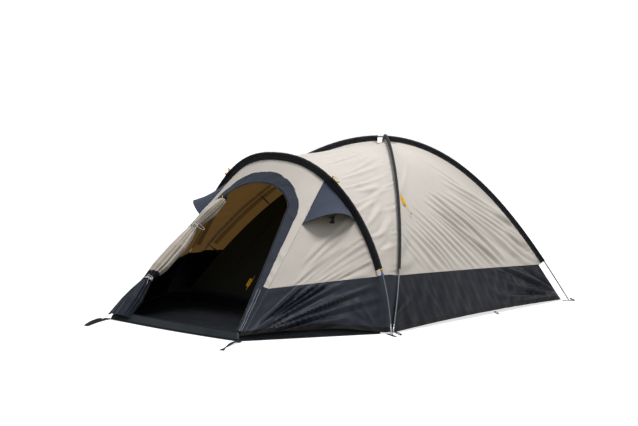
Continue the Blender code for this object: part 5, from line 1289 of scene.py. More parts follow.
def front_roof(m):
    """The light cloth from the hoop back to the crossing poles."""
    rng = np.random.default_rng(31)
    near, far, lap = roof_edges(130, 12)
    share = np.linspace(0, 1, 61)
    grid = lerp(near[None], far[None], share[:, None, None])
    out = facing(grid, UP)
    along = run_lengths((near + far)[None] / 2, 1)
    width = np.linalg.norm(far - near, axis=1)[None]
    s, r = np.broadcast_to(along, grid.shape[:2]), share[:, None] * width
    height = strokes(s, r, roof_lines(rng, along[0], width[0])) + ripple(s, r, rng, 0.25, 0.0014)
    height *= edge_fade(grid.shape, 0.06, 0.01)
    height += puckers(grid.transpose(1, 0, 2), rng, 0.048, 0.0058, 0.085).T
    height *= np.clip(width / 0.30, 0.12, 1)
    sag = ROOF_SAG * (4 * share * (1 - share))[:, None] * np.clip(width / 0.6, 0, 1)
    reach = np.exp(-(width - r) / LAP_REACH)[..., None]
    grid = raised(grid, out, LIFT + height - sag) + lap[None] * reach
    panel("fly_front_roof", grid, out, [m["fly"], m["fly_inside"]])


# Pole sleeves and the strips inside them

DARK_WEB = 0.0185
POCKET_RADIUS = 0.0076
POCKET_FROM = -0.0075
WEB_HALF = 0.0007
SLEEVE_LOWS = {"front": 0.305, "rear": 0.240}
SLEEVE_GAPS = {  # where a sleeve stops at the crossing, as a share of the crown patch
    ("right", "rear"): 0.26, ("right", "front"): 0.22, ("left", "rear"): 0.22, ("left", "front"): 1.0,
}
BINDING_SECTION = ((-0.020, 0.030), (-0.010, 0.020), (0.0, 0.0100), (0.010, 0.020), (0.020, 0.030))


def sleeve_section(depth, count=12):
    """The folded strip's outline as (sideways, outward): up the web, round the pole and down again."""
    turns = np.radians(np.linspace(-62, 242, 19))
    pocket = np.stack([POCKET_RADIUS * np.cos(turns), POCKET_RADIUS * np.sin(turns)], 1)
    web = np.linspace(-depth - 0.002, pocket[0, 1] - 0.004, count)
    right = np.stack([np.full(count, WEB_HALF), web], 1)
    left = np.stack([np.full(count, -WEB_HALF), web[::-1]], 1)
    return np.concatenate([right, pocket, left])


def two_waves(s, rng, sizes, drift, heights):
    """An uneven wave along a sleeve and a finer one; sizes are the lengths of both and of the drift."""
    size, drift_size, fine_size = sizes
    wave = heights[0] * np.sin(s * 2 * math.pi / size + drift * np.sin(s * 2 * math.pi / drift_size))
    return wave, heights[1] * np.sin(s * 2 * math.pi / fine_size + rng.uniform(0, 6))


def sleeve(name, arch, u, depth, seed, m):
    """A pole sleeve: a strip of cloth folded round the pole and sewn to itself below it."""
    rng = np.random.default_rng(seed)
    section = sleeve_section(depth)
    centre, out, side = arch.point(u), arch.outward(u), arch.side
    s = run_lengths(centre[None], 1)[0]
    pocket = section[:, 1] > POCKET_FROM
    wave, fine = two_waves(s, rng, (0.043, 0.29, 0.019), 1.7, (0.05, 0.04))
    swell = 1 + wave + fine
    wave, fine = two_waves(s, rng, (0.061, 0.37, 0.027), 2, (0.0016, 0.0008))
    web_wave = wave + fine
    share = np.clip((section[:, 1] + depth) / (depth - 0.006), 0, 1)
    wave_share = np.where(pocket, 0.0, np.sin(math.pi * share))
    grid = np.zeros((len(section), len(s), 3))
    for i, (a, b) in enumerate(section):
        grow = swell if pocket[i] else np.ones_like(s)
        across = a * np.maximum(grow, 1.0) + web_wave * wave_share[i]
        grid[i] = centre + side * across[:, None] + out * (b * np.maximum(grow, 0.98))[:, None]
    normals = facing(grid, out[len(s) // 2])
    low = -SLEEVE_RADIUS - (DARK_WEB if depth == MAIN_DEPTH else depth)
    light = np.repeat((section[:-1, 1] < low)[:, None], len(s) - 1, axis=1)
    kinds = [m["sleeve"], m["sleeve_inside"], m["fly"]]
    obj = cloth(f"{name}_cloth", grid, normals, kinds, 0.0006, patch=light)
    finish_piece(obj, [name])


def sleeves(m):
    for side, name in SIDES:
        for y_end in ("front", "rear"):
            arch, sign = ridge_of(side, y_end)
            top = CROWN_U * SLEEVE_GAPS[name, y_end]
            u = sleeve_u(arch, sign, SLEEVE_LOWS[y_end], top, np.linspace(0, 1, 150))
            seed = 40 + side + (3 if y_end == "front" else 0)
            sleeve(f"sleeve_{name}_{y_end}", arch, u, MAIN_DEPTH, seed, m)
    k = np.linspace(1, 1 + HOOP_STEPS, 150)
    u = np.concatenate([-hoop_u(k), hoop_u(k[:-1])[::-1]])
    sleeve("sleeve_hoop", HOOP, u, HOOP_DEPTH, 47, m)


def seam_bindings(m):
    """The brown strips that cover the seams along the poles, inside the fly; their dark brown is also painted
    shadow of the sleeves seen through the cloth, and their glow is painted light.
    """
    runs = []
    for side, name in SIDES:
        for y_end in ("front", "rear"):
            arch, sign = ridge_of(side, y_end)
            u = sleeve_u(arch, sign, 0.36, 0.12, np.linspace(0, 1, 80))
            runs.append((f"{name}_{y_end}", arch, u))
        runs.append((f"{name}_hoop", HOOP, -side * hoop_u(np.linspace(1.5, 12, 80))))
    for name, arch, u in runs:
        ridge, outward = arch.ridge(u, 0), arch.outward(u)
        grid = np.array([ridge + arch.side * across - outward * inward for across, inward in BINDING_SECTION])
        out = facing(grid, UP)
        finish_piece(cloth(f"seam_binding_{name}", grid, out, [m["binding"], m["binding"]], 0.0008), [])


# Cloth of the porch

SEAM_TOP_U = float(hoop_u(9))
SEAM_TOP = abs(float(HOOP.ridge(np.array(SEAM_TOP_U), 0)[0]))
LEG_STEPS = 9
ARCH_STEPS = 12
ARCH_MIDDLE = LEG_STEPS + ARCH_STEPS // 2
ARCH_END = 2 * LEG_STEPS + ARCH_STEPS
VENT_STATION = 6
HOOD_THICKNESS = 0.0014
STRUT_END_DROPS = (0.017, 0.042)
STRUT_END_INSETS = (0.034, 0.006)
STRUT_END_WIDTHS = (0.0095, 0.016)
STRUT_END_WIDE_FROM = 0.68


def porch_corner(side):
    return vec(side * PORCH_HALF, PORCH_Y, 0.0)


def front_surface(x, v):
    """The porch's front cloth: v runs from the ground line (0) to the hoop (1), x is sideways."""
    x, v = np.broadcast_arrays(np.asarray(x, float), np.asarray(v, float))
    share = x / lerp(PORCH_HALF, SEAM_TOP, v)
    high = HOOP.ridge(-share * SEAM_TOP_U, web_side(HOOP, vec(0, -1, 0)))
    low = np.stack([share * PORCH_HALF, np.full(share.shape, PORCH_Y), np.zeros(share.shape)], -1)
    return lerp(low, high, v[..., None])


SLOPE = float(np.linalg.norm(front_surface(0.0, 1.0) - front_surface(0.0, 0.0)))
PEAK_SHARE = float(front_surface(0.0, 1.0)[2])
FRONT_NORMAL = unit(np.cross(
    front_surface(PORCH_HALF / 2, 0.5) - front_surface(-PORCH_HALF / 2, 0.5),
    front_surface(0.0, 1.0) - front_surface(0.0, 0.0),
))
FRONT_NORMAL = FRONT_NORMAL if FRONT_NORMAL[1] < 0 else -FRONT_NORMAL


def seam_point(side, v):
    v = np.asarray(v, float)
    return front_surface(side * (lerp(PORCH_HALF, SEAM_TOP, v) + SEAM_BULGE * 6.75 * v * (1 - v) ** 2), v)


def v_at_height(height):
    table = np.linspace(0, 1, 2001)
    return np.interp(height, seam_point(RIGHT, table)[:, 2], table)


def side_normal(side):
    n = unit(np.cross(foot(side, FRONT_Y) - porch_corner(side), UP))
    return n if n[0] * side > 0 else -n


def arch_half_width(v, half_width, spring, rise, foot_half_width):
    s = np.asarray(v, float) * SLOPE
    over = half_width * np.sqrt(np.clip(1 - ((s - spring) / rise) ** 2, 0, 1))
    return np.where(s >= spring, over, lerp(foot_half_width, half_width, s / spring))


def arch_line(arch, low_v, grow, k):
    """Places (x, v) along an arch: up its right leg (k 0 to 9), over (to 21) and down (to 30)."""
    half_width, spring, rise, foot_half = (arch[0] + grow, arch[1], arch[2] + grow, arch[3] + grow)
    k = np.asarray(k, float)
    mirrored = np.minimum(k, ARCH_END - k)
    leg_v = lerp(low_v, spring / SLOPE, np.clip(mirrored / LEG_STEPS, 0, 1))
    leg_x = arch_half_width(leg_v, half_width, spring, rise, foot_half)
    a = math.pi * np.clip(k - LEG_STEPS, 0, ARCH_STEPS) / ARCH_STEPS
    on_leg = mirrored < LEG_STEPS
    sign = np.where(k <= ARCH_MIDDLE, 1, -1)
    x = np.where(on_leg, sign * leg_x, half_width * np.cos(a))
    v = np.where(on_leg, leg_v, (spring + rise * np.sin(a)) / SLOPE)
    return x, v


def hoop_edge_height(station):
    return float(HOOP.ridge(hoop_u(station), web_side(HOOP, vec(0, -1, 0)))[2])


VENT_HEIGHT = hoop_edge_height(VENT_STATION)


def side_heights(station):
    """The heights of the porch side's rows on its seam and on the hoop, for stations 0 to 6."""
    rear = np.array([hoop_edge_height(k) for k in np.atleast_1d(station)])
    share = (rear - SEAM_FRONT_CORNER) / (VENT_HEIGHT - SEAM_FRONT_CORNER)
    return lerp(SEAM_PORCH_CORNER, VENT_HEIGHT, share), rear


def hoop_points(side, heights):
    u = np.array([HOOP.u_at(z, -side) for z in np.atleast_1d(heights)])
    return HOOP.ridge(u, web_side(HOOP, vec(0, -1, 0)))


def porch_rows(side, front_heights, rear_heights, columns):
    a, b = seam_point(side, v_at_height(front_heights)), hoop_points(side, rear_heights)
    t = np.linspace(0, 1, columns + 1)[None, :, None]
    return lerp(a[:, None], b[:, None], t) - side_normal(side) * PORCH_SAG * 4 * t * (1 - t)


def porch_front(m):
    """The light band between the door's frame and the hoop."""
    rng = np.random.default_rng(53)
    k = np.linspace(0, ARCH_END, 241)
    inner = front_surface(*arch_line(FRAME_ARCH, v_at_height(SEAM_PORCH_CORNER), 0.0004, k))
    mirrored = np.minimum(k, ARCH_END - k)
    leg_heights = list(side_heights(np.arange(VENT_STATION + 1))[0])
    leg_heights += [hoop_edge_height(station) for station in range(VENT_STATION + 1, LEG_STEPS)]
    leg_v = np.append(v_at_height(np.array(leg_heights)), 1.0)
    v = np.interp(np.clip(mirrored, 0, LEG_STEPS), np.arange(LEG_STEPS + 1), leg_v)
    sign = np.where(k <= ARCH_MIDDLE, 1, -1)
    legs = np.where((sign > 0)[:, None], seam_point(RIGHT, v), seam_point(LEFT, v))
    arc = HOOP.ridge(-sign * hoop_u(mirrored), web_side(HOOP, vec(0, -1, 0)))
    outer = np.where((mirrored < LEG_STEPS)[:, None], legs, arc)
    grid = lerp(inner[None], outer[None], np.linspace(-0.04, 1, 23)[:, None, None])
    out = facing(grid, FRONT_NORMAL)
    x, z = grid[..., 0], grid[..., 2]
    lines = []
    for side in (RIGHT, LEFT):
        for _ in range(6):
            z0 = rng.uniform(0.28, 0.62)
            start, end = (side * 0.31, z0 + 0.05), (side * 0.47, z0 - 0.05)
            lines.append((start, end, 0.012, rng.uniform(0.001, 0.003)))
    height = strokes(x, z, lines) * edge_fade(grid.shape, 0.12, 0.01) + ripple(x, z, rng, 0.12, 0.0007)
    grid = raised(grid, out, LIFT + height)
    panel("porch_front_panel", grid, out, [m["fly"], m["fly_inside"]])


def porch_side(side, name, m):
    """The light cloth of the porch's side, its net window, its skirt and its hood."""
    rng = np.random.default_rng(60 + side)
    outward = side_normal(side)
    grid = porch_rows(side, *side_heights(np.linspace(0, VENT_STATION, 61)), 64)
    out = facing(grid, outward)
    along, z = run_lengths(grid, 1), grid[..., 2]
    height = strokes(along, z, fans(rng, "porch_side")) + ripple(along, z, rng, 0.14, 0.0010)
    height = height * edge_fade(grid.shape, 0.12, 0.03) + puckers(grid, rng, 0.024, 0.0012, 0.025)
    grid = raised(grid, out, LIFT + height)
    kinds = [m["fly"], m["fly_inside"]]
    panel(f"porch_side_{name}", grid, out, kinds)

    heights = np.linspace(VENT_HEIGHT, lerp(hoop_edge_height(8), hoop_edge_height(9), 0.75), 25)
    grid = porch_rows(side, heights, heights, 36)
    out = facing(grid, outward)
    grid = raised(grid, out, LIFT - 0.0006 + ripple(grid[..., 1], grid[..., 2], rng, 0.07, 0.0005))
    obj = cloth(f"vent_mesh_{name}_net", grid, out, [m["mesh"], m["mesh"]], 0.0006)
    finish_piece(obj, [f"vent_mesh_{name}"])

    porch_skirt(side, name, rng, m)
    hood(side, name, rng, m)


def porch_skirt_grid(side, rows):
    """The smooth skirt from its hem up: beside the door's frame, round the side, behind the hoop."""
    seam_v, hem_v = v_at_height(SEAM_PORCH_CORNER), v_at_height(HEM_PORCH_CORNER)
    ends = HEM_FRONT_CORNER, SEAM_FRONT_CORNER
    arch, sign = ridge_of(side, "front")
    pole = arch.ridge(np.array([arch.u_at(h, sign) for h in ends]), web_side(arch, vec(0, -1, 0)))
    hoop = hoop_points(side, ends)
    k = np.linspace(0, 1, rows + 1)[:, None, None]
    v = lerp(hem_v, seam_v, k[:, 0, 0])
    frame_edge = front_surface(side * (arch_half_width(v, *FRAME_ARCH) - 0.004), v)
    seam = seam_point(side, v)
    rear = lerp(hoop[0], hoop[1], k[:, 0])
    pole_line = lerp(pole[0], pole[1], k[:, 0])
    strip = lerp(frame_edge[:, None], seam[:, None], np.linspace(0, 1, 8)[None, :-1, None])
    t = np.linspace(0, 1, 91)[None, :, None]
    arc = 4 * t * (1 - t)
    wall = lerp(seam[:, None], rear[:, None], t) + UP * HEM_PORCH_LIFT * arc * (1 - k) \
        - side_normal(side) * PORCH_SAG * arc * k
    gusset = lerp(rear[:, None], pole_line[:, None], np.linspace(0, 1, 9)[None, 1:, None])
    grid = np.concatenate([strip, wall, gusset], axis=1)
    column = np.arange(grid.shape[1])[None, :, None]
    drop = np.clip(column / 8, 0, 1) if side == LEFT else np.clip((column - 60) / 38, 0, 1) ** 1.5
    return grid - UP * ((1 - k) * (grid[:1, :, 2:] - HEM_REST - 0.001) * drop)


def porch_skirt(side, name, rng, m):
    """The dark cloth beside the door frame, round the porch's side, and behind the hoop."""
    rows = 34
    grid = porch_skirt_grid(side, rows)
    normals = grid_normals(grid)
    out = normals if normals[rows // 2, 40] @ unit(side_normal(side) + 0.35 * UP) > 0 else -normals
    along, z = run_lengths(grid, 1) - run_lengths(grid, 1)[:, 7:8], grid[..., 2]
    height = strokes(along, z, fans(rng, "porch_skirt")) + ripple(along, z, rng, 0.09, 0.0012)
    low = 1 - np.linspace(0, 1, rows + 1)[:, None]
    corner = 1 - np.exp(-(along / 0.02) ** 2) * 0.7
    column = np.arange(grid.shape[1])
    ends = np.clip(np.minimum(column, column[-1] - column) / 5, 0, 1)[None]
    height = height * np.clip(low / 0.10, 0, 1) * corner * ends
    height += ripple(along, z * 0.2, rng, 0.13, 0.0028) * low ** 2 * ends
    height += np.where(low > 0.88, HEM_THICK, 0.0) - SEAM_DIP * np.exp(-(1 - low) / 0.05)
    grid = raised(grid, out, SKIRT_LIFT + height)
    tuck = grid[-1:] + (grid[-1:] - grid[-2:-1]) * 0.8 - out[-1:] * 0.0022
    grid, out = np.concatenate([grid, tuck]), np.concatenate([out, out[-1:]])
    # The skirt's lowest rows in dark webbing: a hem tape, and partly painted shade under the lifted hem.
    hem = np.zeros(grid.shape[:2], bool)
    hem[:3] = True
    kinds = [m["skirt_porch"], m["skirt_inside"], m["webbing"]]
    panel(f"skirt_porch_{name}", grid, out, kinds, hem)


def hood(side, name, rng, m):
    """The stiffened hood over a vent, with a bound lower edge, and the end of the strut that props it."""
    outward = side_normal(side)
    top = float(seam_point(side, 1.0)[2]) - 0.004
    k = np.linspace(0, 1, 33)
    front = seam_point(side, v_at_height(lerp(top, VENT_LOW_FRONT, k)))
    rear = hoop_points(side, lerp(top, VENT_LOW_REAR, k))
    t = np.linspace(0, 1, 45)[None, :, None]
    bulge = np.sin(math.pi * t) ** 0.8
    low = np.clip((k - 0.2) / 0.8, 0, 1)[:, None, None]
    grid = lerp(front[:, None], rear[:, None], t)
    grid = grid + outward * (VENT_HOOD_CLEARANCE + VENT_HOOD_REACH * bulge * low)
    grid = grid + UP * VENT_HOOD_LIFT * bulge * low ** 2
    along = flat(grid[0, -1] - grid[0, 0])
    grid = grid + lerp(along * 0.002, -along * 0.006, t)
    out = facing(grid, unit(outward + UP))
    height = ripple(run_lengths(grid, 1), grid[..., 2], rng, 0.06, 0.0007) * edge_fade(grid.shape, 0.1, 0.05)
    grid = raised(grid, out, 0.0012 + height)
    obj = cloth(f"vent_hood_{name}_cloth", grid, out, [m["hood"], m["sleeve"]], HOOD_THICKNESS)
    binding = tube(f"vent_hood_{name}_binding", grid[-1], 0.0021, m["hood"])
    piece = joined(f"vent_hood_{name}_sewn", [obj, binding])
    finish_piece(piece, [f"vent_hood_{name}"])

    lip, sideways = grid[-1, 22], flat(grid[-1, 26] - grid[-1, 18])
    fall = np.linspace(0, 1, 12)[:, None]
    (drop, more_drop), (inset, more_inset) = STRUT_END_DROPS, STRUT_END_INSETS
    middle = lip - UP * (drop + more_drop * fall) - outward * (inset + more_inset * fall)
    narrow, wide = STRUT_END_WIDTHS
    half = np.where(fall > STRUT_END_WIDE_FROM, wide, narrow)[..., None]
    strap = middle[:, None] + sideways * (half * np.array([-1.0, 1.0])[None, :, None])
    end = cloth(f"vent_strut_end_{name}", strap, facing(strap, outward), [m["webbing"]], 0.0026)
    finish_piece(end, [], body=f"strut_{name}")


DOOR_LOW = DOOR_SILL_HEIGHT / PEAK_SHARE
ZIP_TAPE = (0.0003, 0.0063)
TOOTH_PITCH = 0.0032
TOOTH_HALF_SIZE = (0.0009, 0.0017, 0.0009)


def door_trim(m):
    """The slate frame round the opening, with its edge tapes, pale piping and the joints of its strips."""
    rng = np.random.default_rng(71)
    k = np.linspace(0, ARCH_END, 301)
    inner, outer = (front_surface(*arch_line(arch, DOOR_LOW, 0.0, k)) for arch in (DOOR_ARCH, FRAME_ARCH))
    grid = lerp(inner[None], outer[None], np.linspace(0, 1, 13)[:, None, None])
    out = np.broadcast_to(FRONT_NORMAL, grid.shape)
    s, r = run_lengths(grid, 1), run_lengths(grid, 0)
    height = ripple(s, r, rng, 0.11, 0.0017) + ripple(s, r * 0.3, rng, 0.03, 0.0004)
    grid = raised(grid, out, LIFT + 0.0004 + height)
    parts = [cloth("trim", grid, out, [m["slate"], m["fly_inside"]], 0.0018)]
    parts += [tube("edge", grid[row], 0.0014, m["tape"], 6) for row in (0, -1)]
    on_skirt = grid[:, :, 2] < SEAM_PORCH_CORNER
    last = int(np.argmin(on_skirt[6]))
    for row in (5, 11):
        for leg in (slice(0, last), slice(-last, None)):
            parts.append(tube("piping", grid[row, leg] + FRONT_NORMAL * 0.0012, 0.0013, m["piping"], 6))
    for column in (90, 210):
        parts.append(tube("joint", grid[:, column] + FRONT_NORMAL * 0.0009, 0.0011, m["tape"], 6))
    finish_piece(joined("door_frame_trim_sewn", parts), ["door_frame_trim"])


def door_zip(m):
    """The zip's tape along the frame's inner edge, with its teeth."""
    k = np.linspace(0, ARCH_END, 301)
    edges = [front_surface(*arch_line(DOOR_ARCH, DOOR_LOW, -grow, k)) for grow in ZIP_TAPE]
    grid = lerp(edges[0][None], edges[1][None], np.linspace(0, 1, 5)[:, None, None]) + FRONT_NORMAL * 0.0009
    tape = cloth("tape", grid, np.broadcast_to(FRONT_NORMAL, grid.shape), [m["tape"], m["tape"]], 0.0008)
    line = front_surface(*arch_line(DOOR_ARCH, DOOR_LOW, -0.0070, np.linspace(0, ARCH_END, 1300)))
    length = run_lengths(line[None], 1)[0]
    stops = np.linspace(0, length[-1], int(length[-1] / TOOTH_PITCH))
    places = np.stack([np.interp(stops, length, line[:, c]) for c in range(3)], 1)
    tangents = unit(np.gradient(places, axis=0))
    across = np.cross(tangents, FRONT_NORMAL)
    teeth = blocks("teeth", places + FRONT_NORMAL * 0.0011, tangents, across, TOOTH_HALF_SIZE, m["plastic"])
    finish_piece(joined("door_zip_chain", [tape, teeth]), ["door_zip"])


def blocks(name, places, along, across, half, m):
    """Small rounded blocks at places, as one mesh: half sizes along, across and up."""
    up = np.cross(along, across)
    ring = [(-1, -0.7), (-0.7, -1), (0.7, -1), (1, -0.7), (1, 0.7), (0.7, 1), (-0.7, 1), (-1, 0.7)]
    points, faces = [], []
    for p, a, b, c in zip(places, along, across, up):
        start = len(points)
        for end in (-1, 1):
            points += [p + a * half[0] * end + b * half[1] * x + c * half[2] * y for x, y in ring]
        for j in range(8):
            i = (j + 1) % 8
            faces.append((start + j, start + i, start + 8 + i, start + 8 + j))
        faces += [tuple(start + j for j in reversed(range(8))), tuple(start + 8 + j for j in range(8))]
    mesh = bpy.data.meshes.new(name)
    mesh.from_pydata([tuple(p) for p in points], [], faces)
    mesh.materials.append(m)
    bm = bmesh.new()
    bm.from_mesh(mesh)
    bmesh.ops.recalc_face_normals(bm, faces=bm.faces)
    bm.to_mesh(mesh)
    bm.free()
    return add_object(name, mesh)


# The gathered door

FLAP_TOP_V = 0.765
FLAP_FOOT_V = 0.020
FLAP_TIES = {"upper": 0.59, "lower": 0.25}
FLAP_PLEATS = 8
FLAP_STATIONS = (0.02, 0.12, 0.25, 0.33, 0.45, 0.59, 0.67, 0.74, 0.77)
FLAP_LEFT = (0.000, 0.004, 0.034, 0.030, 0.036, 0.046, 0.066, 0.092, 0.098)
FLAP_RIGHT = (0.115, 0.095, 0.030, 0.050, 0.050, 0.016, 0.056, 0.070, 0.060)
FLAP_HIGH = (0.018, 0.022, 0.014, 0.026, 0.028, 0.014, 0.022, 0.016, 0.010)
FLAP_FRONT = 0.7
FLAP_BEHIND = 0.042
FLAP_CLEARANCE = 0.011
FLAP_PLEAT_SIZE = 0.0165
# How deep in a pleat the painted shade of the groove starts
FLAP_GROOVE_SHADE = -0.62
FLAP_BAND = (0.246, 0.262)
FLAP_SHADED_TOP_ROWS = 5
PULLER_LENGTH = 0.055
PULLER_RADII = np.array([0.0019] * 13 + [0.0032, 0.0034, 0.0022])
TIE_LOOP_REACH = {"upper": 0.085, "lower": 0.034}
TIE_TAIL = 0.045


def flap_curve(v, q):
    """A place on the gathered door's smooth form at a height, its outward direction, and its looseness.

    q runs from the porch's seam (0) over the door frame's leg, round its inner edge and behind it (1).
    """
    edge = -float(arch_half_width(v, *DOOR_ARCH))
    left = float(seam_point(LEFT, v)[0]) + float(np.interp(v, FLAP_STATIONS, FLAP_LEFT))
    right = edge + float(np.interp(v, FLAP_STATIONS, FLAP_RIGHT))
    high = float(np.interp(v, FLAP_STATIONS, FLAP_HIGH))
    deep = 1.5 * high
    loose = min(1.0, min(abs(v - tie) for tie in FLAP_TIES.values()) / 0.07)
    q = np.asarray(q, float)
    behind = np.clip((q - FLAP_FRONT) / (1 - FLAP_FRONT), 0, 1)
    turn = math.pi * (1 - np.clip(q / FLAP_FRONT, 0, 1)) - 1.7 * behind
    half = (right - left) / 2
    front = q <= FLAP_FRONT
    behind = right - FLAP_BEHIND + FLAP_BEHIND * np.cos(turn)
    x = np.where(front, (left + right) / 2 + half * np.cos(turn), behind)
    n = FLAP_CLEARANCE + np.where(front, high * np.abs(np.sin(turn)), deep * np.sin(turn))
    place = front_surface(x, v) + FRONT_NORMAL * n[..., None]
    across = unit(front_surface(np.array(edge + 0.01), v) - front_surface(np.array(edge), v))
    out = unit(across * (np.cos(turn) / np.where(front, half, FLAP_BEHIND))[..., None]
               + FRONT_NORMAL * (np.sin(turn) / np.where(front, high, deep))[..., None])
    return place, out, loose


def flap_pleats(rows, cols):
    """The gathered door's grid from its top to its foot, and how far each place stands out of its pleat."""
    q = np.linspace(0, 1, cols + 1)
    grid, waves = np.zeros((rows + 1, cols + 1, 3)), np.zeros((rows + 1, cols + 1))
    fade = np.clip(q / 0.04, 0, 1)
    for i, share in enumerate(np.linspace(0, 1, rows + 1)):
        v = lerp(FLAP_TOP_V, FLAP_FOOT_V, share)
        place, out, loose = flap_curve(v, q)
        drift = 0.9 * math.sin(share * 4.3) * np.sin(math.pi * 2 * q) + 0.5 * np.sin(q * 9 + share * 7)
        phase = math.pi * FLAP_PLEATS * q + drift
        foot_share = np.clip((FLAP_TIES["lower"] - v) / FLAP_TIES["lower"], 0, 1)
        uneven = 0.8 + 0.25 * np.sin(q * 15 + share * 6) + 0.20 * np.sin(q * 34 - share * 11)
        size = lerp(0.3, 1.0, min(1.0, share / 0.12)) * FLAP_PLEAT_SIZE
        size = size * lerp(0.36, 1.0, loose) * (1 - 0.75 * foot_share)
        waves[i] = 1.5 * np.abs(np.sin(phase)) ** 0.75 - 1.0 + 0.10 * np.sin(5 * phase)
        grid[i] = place + out * (1.15 * size * uneven * waves[i] * fade)[:, None]
    return grid, waves


def door_flap(m):
    """The door's cloth laid in pleats over the frame's leg, drawn in by its ties, spread at its foot."""
    rows, cols = 200, FLAP_PLEATS * 30
    grid, waves = flap_pleats(rows, cols)
    normals = grid_normals(grid)
    normals = normals if normals[rows // 2].mean(axis=0) @ FRONT_NORMAL > 0 else -normals
    low, high = (int(np.argmax(grid[:, cols // 3, 2] < height)) for height in FLAP_BAND)
    parts = []
    for label, first, last, kinds in (
        # The top rows in dark tape: painted shade where the door goes in under the frame.
        ("end", 0, FLAP_SHADED_TOP_ROWS, ("tape", "tape")),
        ("upper", FLAP_SHADED_TOP_ROWS, high, ("flap", "fly_inside", "groove_painted_shade")),
        ("band", high, low, ("tape", "tape")),
        ("lower", low, rows, ("skirt_porch", "skirt_inside")),
    ):
        here = slice(first, last + 1)
        # Cells deep in a pleat's groove take the groove material: painted shade.
        deep = (waves[here] < FLAP_GROOVE_SHADE) & (label == "upper")
        parts.append(cloth(label, grid[here], normals[here], [m[kind] for kind in kinds], 0.0010, patch=deep))
    place, out, _ = flap_curve(FLAP_TOP_V - 0.012, np.array([0.50]))
    place, out = place[0] + out[0] * 0.016, out[0]
    pull = []
    for t in np.linspace(0, 1, len(PULLER_RADII)):
        sway = vec(0.004 * math.sin(5 * t), 0, 0)
        pull.append(place + out * 0.006 * math.sin(math.pi * t) - UP * PULLER_LENGTH * t + sway)
    parts.append(tube("puller", pull, PULLER_RADII, m["yellow"]))
    piece = joined("door_flap_cloth", parts)
    finish_piece(piece, ["door_flap"])
    stretched(grid)
    for name, v in FLAP_TIES.items():
        flap_tie(v, name, m["pale"])


def flap_tie(v, name, material):
    """A tape tie round the gathered door, knotted at its front with two loops and two tails."""
    q = np.linspace(0.02, 1, 70)
    down = unit(front_surface(np.array(-0.3), v - 0.01) - front_surface(np.array(-0.3), v))
    wrap, wrap_out, _ = flap_curve(v, q)
    swell = 0.0052 + 0.0006 * np.sin(q * 40)
    parts = []
    for drop in (-0.0036, 0.0030):
        rows = [wrap + wrap_out * (swell + 0.0004 * math.sin(2 * t))[:, None] + down * (drop + t * 0.0028)
                for t in (-1, -0.5, 0, 0.5, 1)]
        normals = np.broadcast_to(wrap_out, (5, *wrap_out.shape))
        parts.append(cloth("band", np.array(rows), normals, [material], 0.0010))
    place, out, _ = flap_curve(v, np.array([0.52]))
    place, out = place[0] + out[0] * 0.0075, out[0]
    side = unit(np.cross(down, out))
    side = side if side[0] > 0 else -side
    turns = np.linspace(0, 2 * math.pi, 19)
    knot = [place + out * (0.001 + 0.0028 * math.cos(t)) + down * 0.0052 * math.sin(t) for t in turns]
    parts.append(tube("knot", knot, 0.0020, material))
    for turn, share in ((1, 1.0), (-1, 0.15)):
        loop = []
        for t in np.linspace(0, 2 * math.pi, 41):
            far = TIE_LOOP_REACH[name] * share * (1 - math.cos(t)) / 2
            loop.append(place + out * (0.006 + 0.010 * math.sin(t / 2)) + side * turn * far * 0.9
                        + down * (far * 0.30 + 0.0105 * math.sin(t)))
        parts.append(tube("loop", loop, 0.0017, material))
        tail = [place + out * (0.004 - 0.001 * t) + down * TIE_TAIL * t * share
                + side * turn * (0.003 + 0.012 * t * t) for t in np.linspace(0, 1, 14)]
        parts.append(tube("tail", tail, 0.0013, material))
    finish_piece(joined(f"flap_tie_{name}_tape", parts), [f"flap_tie_{name}"])


# Inner tent and groundsheets


def inner_tent(m):
    """The inner tent's four sloping faces with its corner seams, and its closed door as its own piece."""
    rng = np.random.default_rng(83)
    w = np.concatenate([[0.004, 0.015], np.linspace(INNER_TOP_SHARE, 1, 61)])
    per = 6 * INNER_COLUMNS
    t = np.arange(per) / per
    grid = np.concatenate([inner_face_point(face, w[:, None], t[None]) for face in range(4)], axis=1)
    out = grid_normals(grid, wraps=True)
    out = np.where(np.sum(out * (grid - vec(0, PEAK[1], 0)), axis=2, keepdims=True) > 0, out, -out)
    out[:2] = UP
    s, z = run_lengths(grid, 1), grid[..., 2]
    height = ripple(s, z, rng, 0.16, 0.0030) + ripple(s, z, rng, 0.06, 0.0010)
    height *= np.abs(np.sin(math.pi * np.tile(t, 4)))[None] ** 0.6 * np.clip((1 - w) / 0.05, 0, 1)[:, None]
    grid = raised(grid, out, height - 0.0015)
    top_w, low_w = (lerp(INNER_TOP_SHARE, 1.0, k / INNER_ROWS) for k in (3, 8))
    rows = np.nonzero((w > top_w) & (w < low_w))[0]
    first, last = per // INNER_COLUMNS, per * 6 // INNER_COLUMNS
    keep = np.ones(grid.shape[:2], bool)
    keep[rows[0]:rows[-1], first:last] = False
    parts = [cloth("inner", grid, out, [m["inner"], m["inner"]], 0.0010, wraps=True, keep=keep)]
    parts += [tube("seam", grid[2:, corner * per], 0.0019, m["inner"], 6) for corner in range(4)]
    piece = joined("inner_tent_cloth", parts)
    finish_piece(piece, ["inner_tent"])
    opening = slice(rows[0], rows[-1] + 1), slice(first, last + 1)
    door, door_out = grid[opening], out[opening]
    sheet = cloth("door", door + door_out * 0.0004, door_out, [m["inner"], m["inner"]], 0.0010)
    border = np.concatenate([door[::-1, 0], door[0], door[:, -1]]) + vec(0, -0.0016, 0)
    piece = joined("inner_door_cloth", [sheet, tube("zip", border, 0.0022, m["tape"], 6)])
    finish_piece(piece, ["inner_door"])


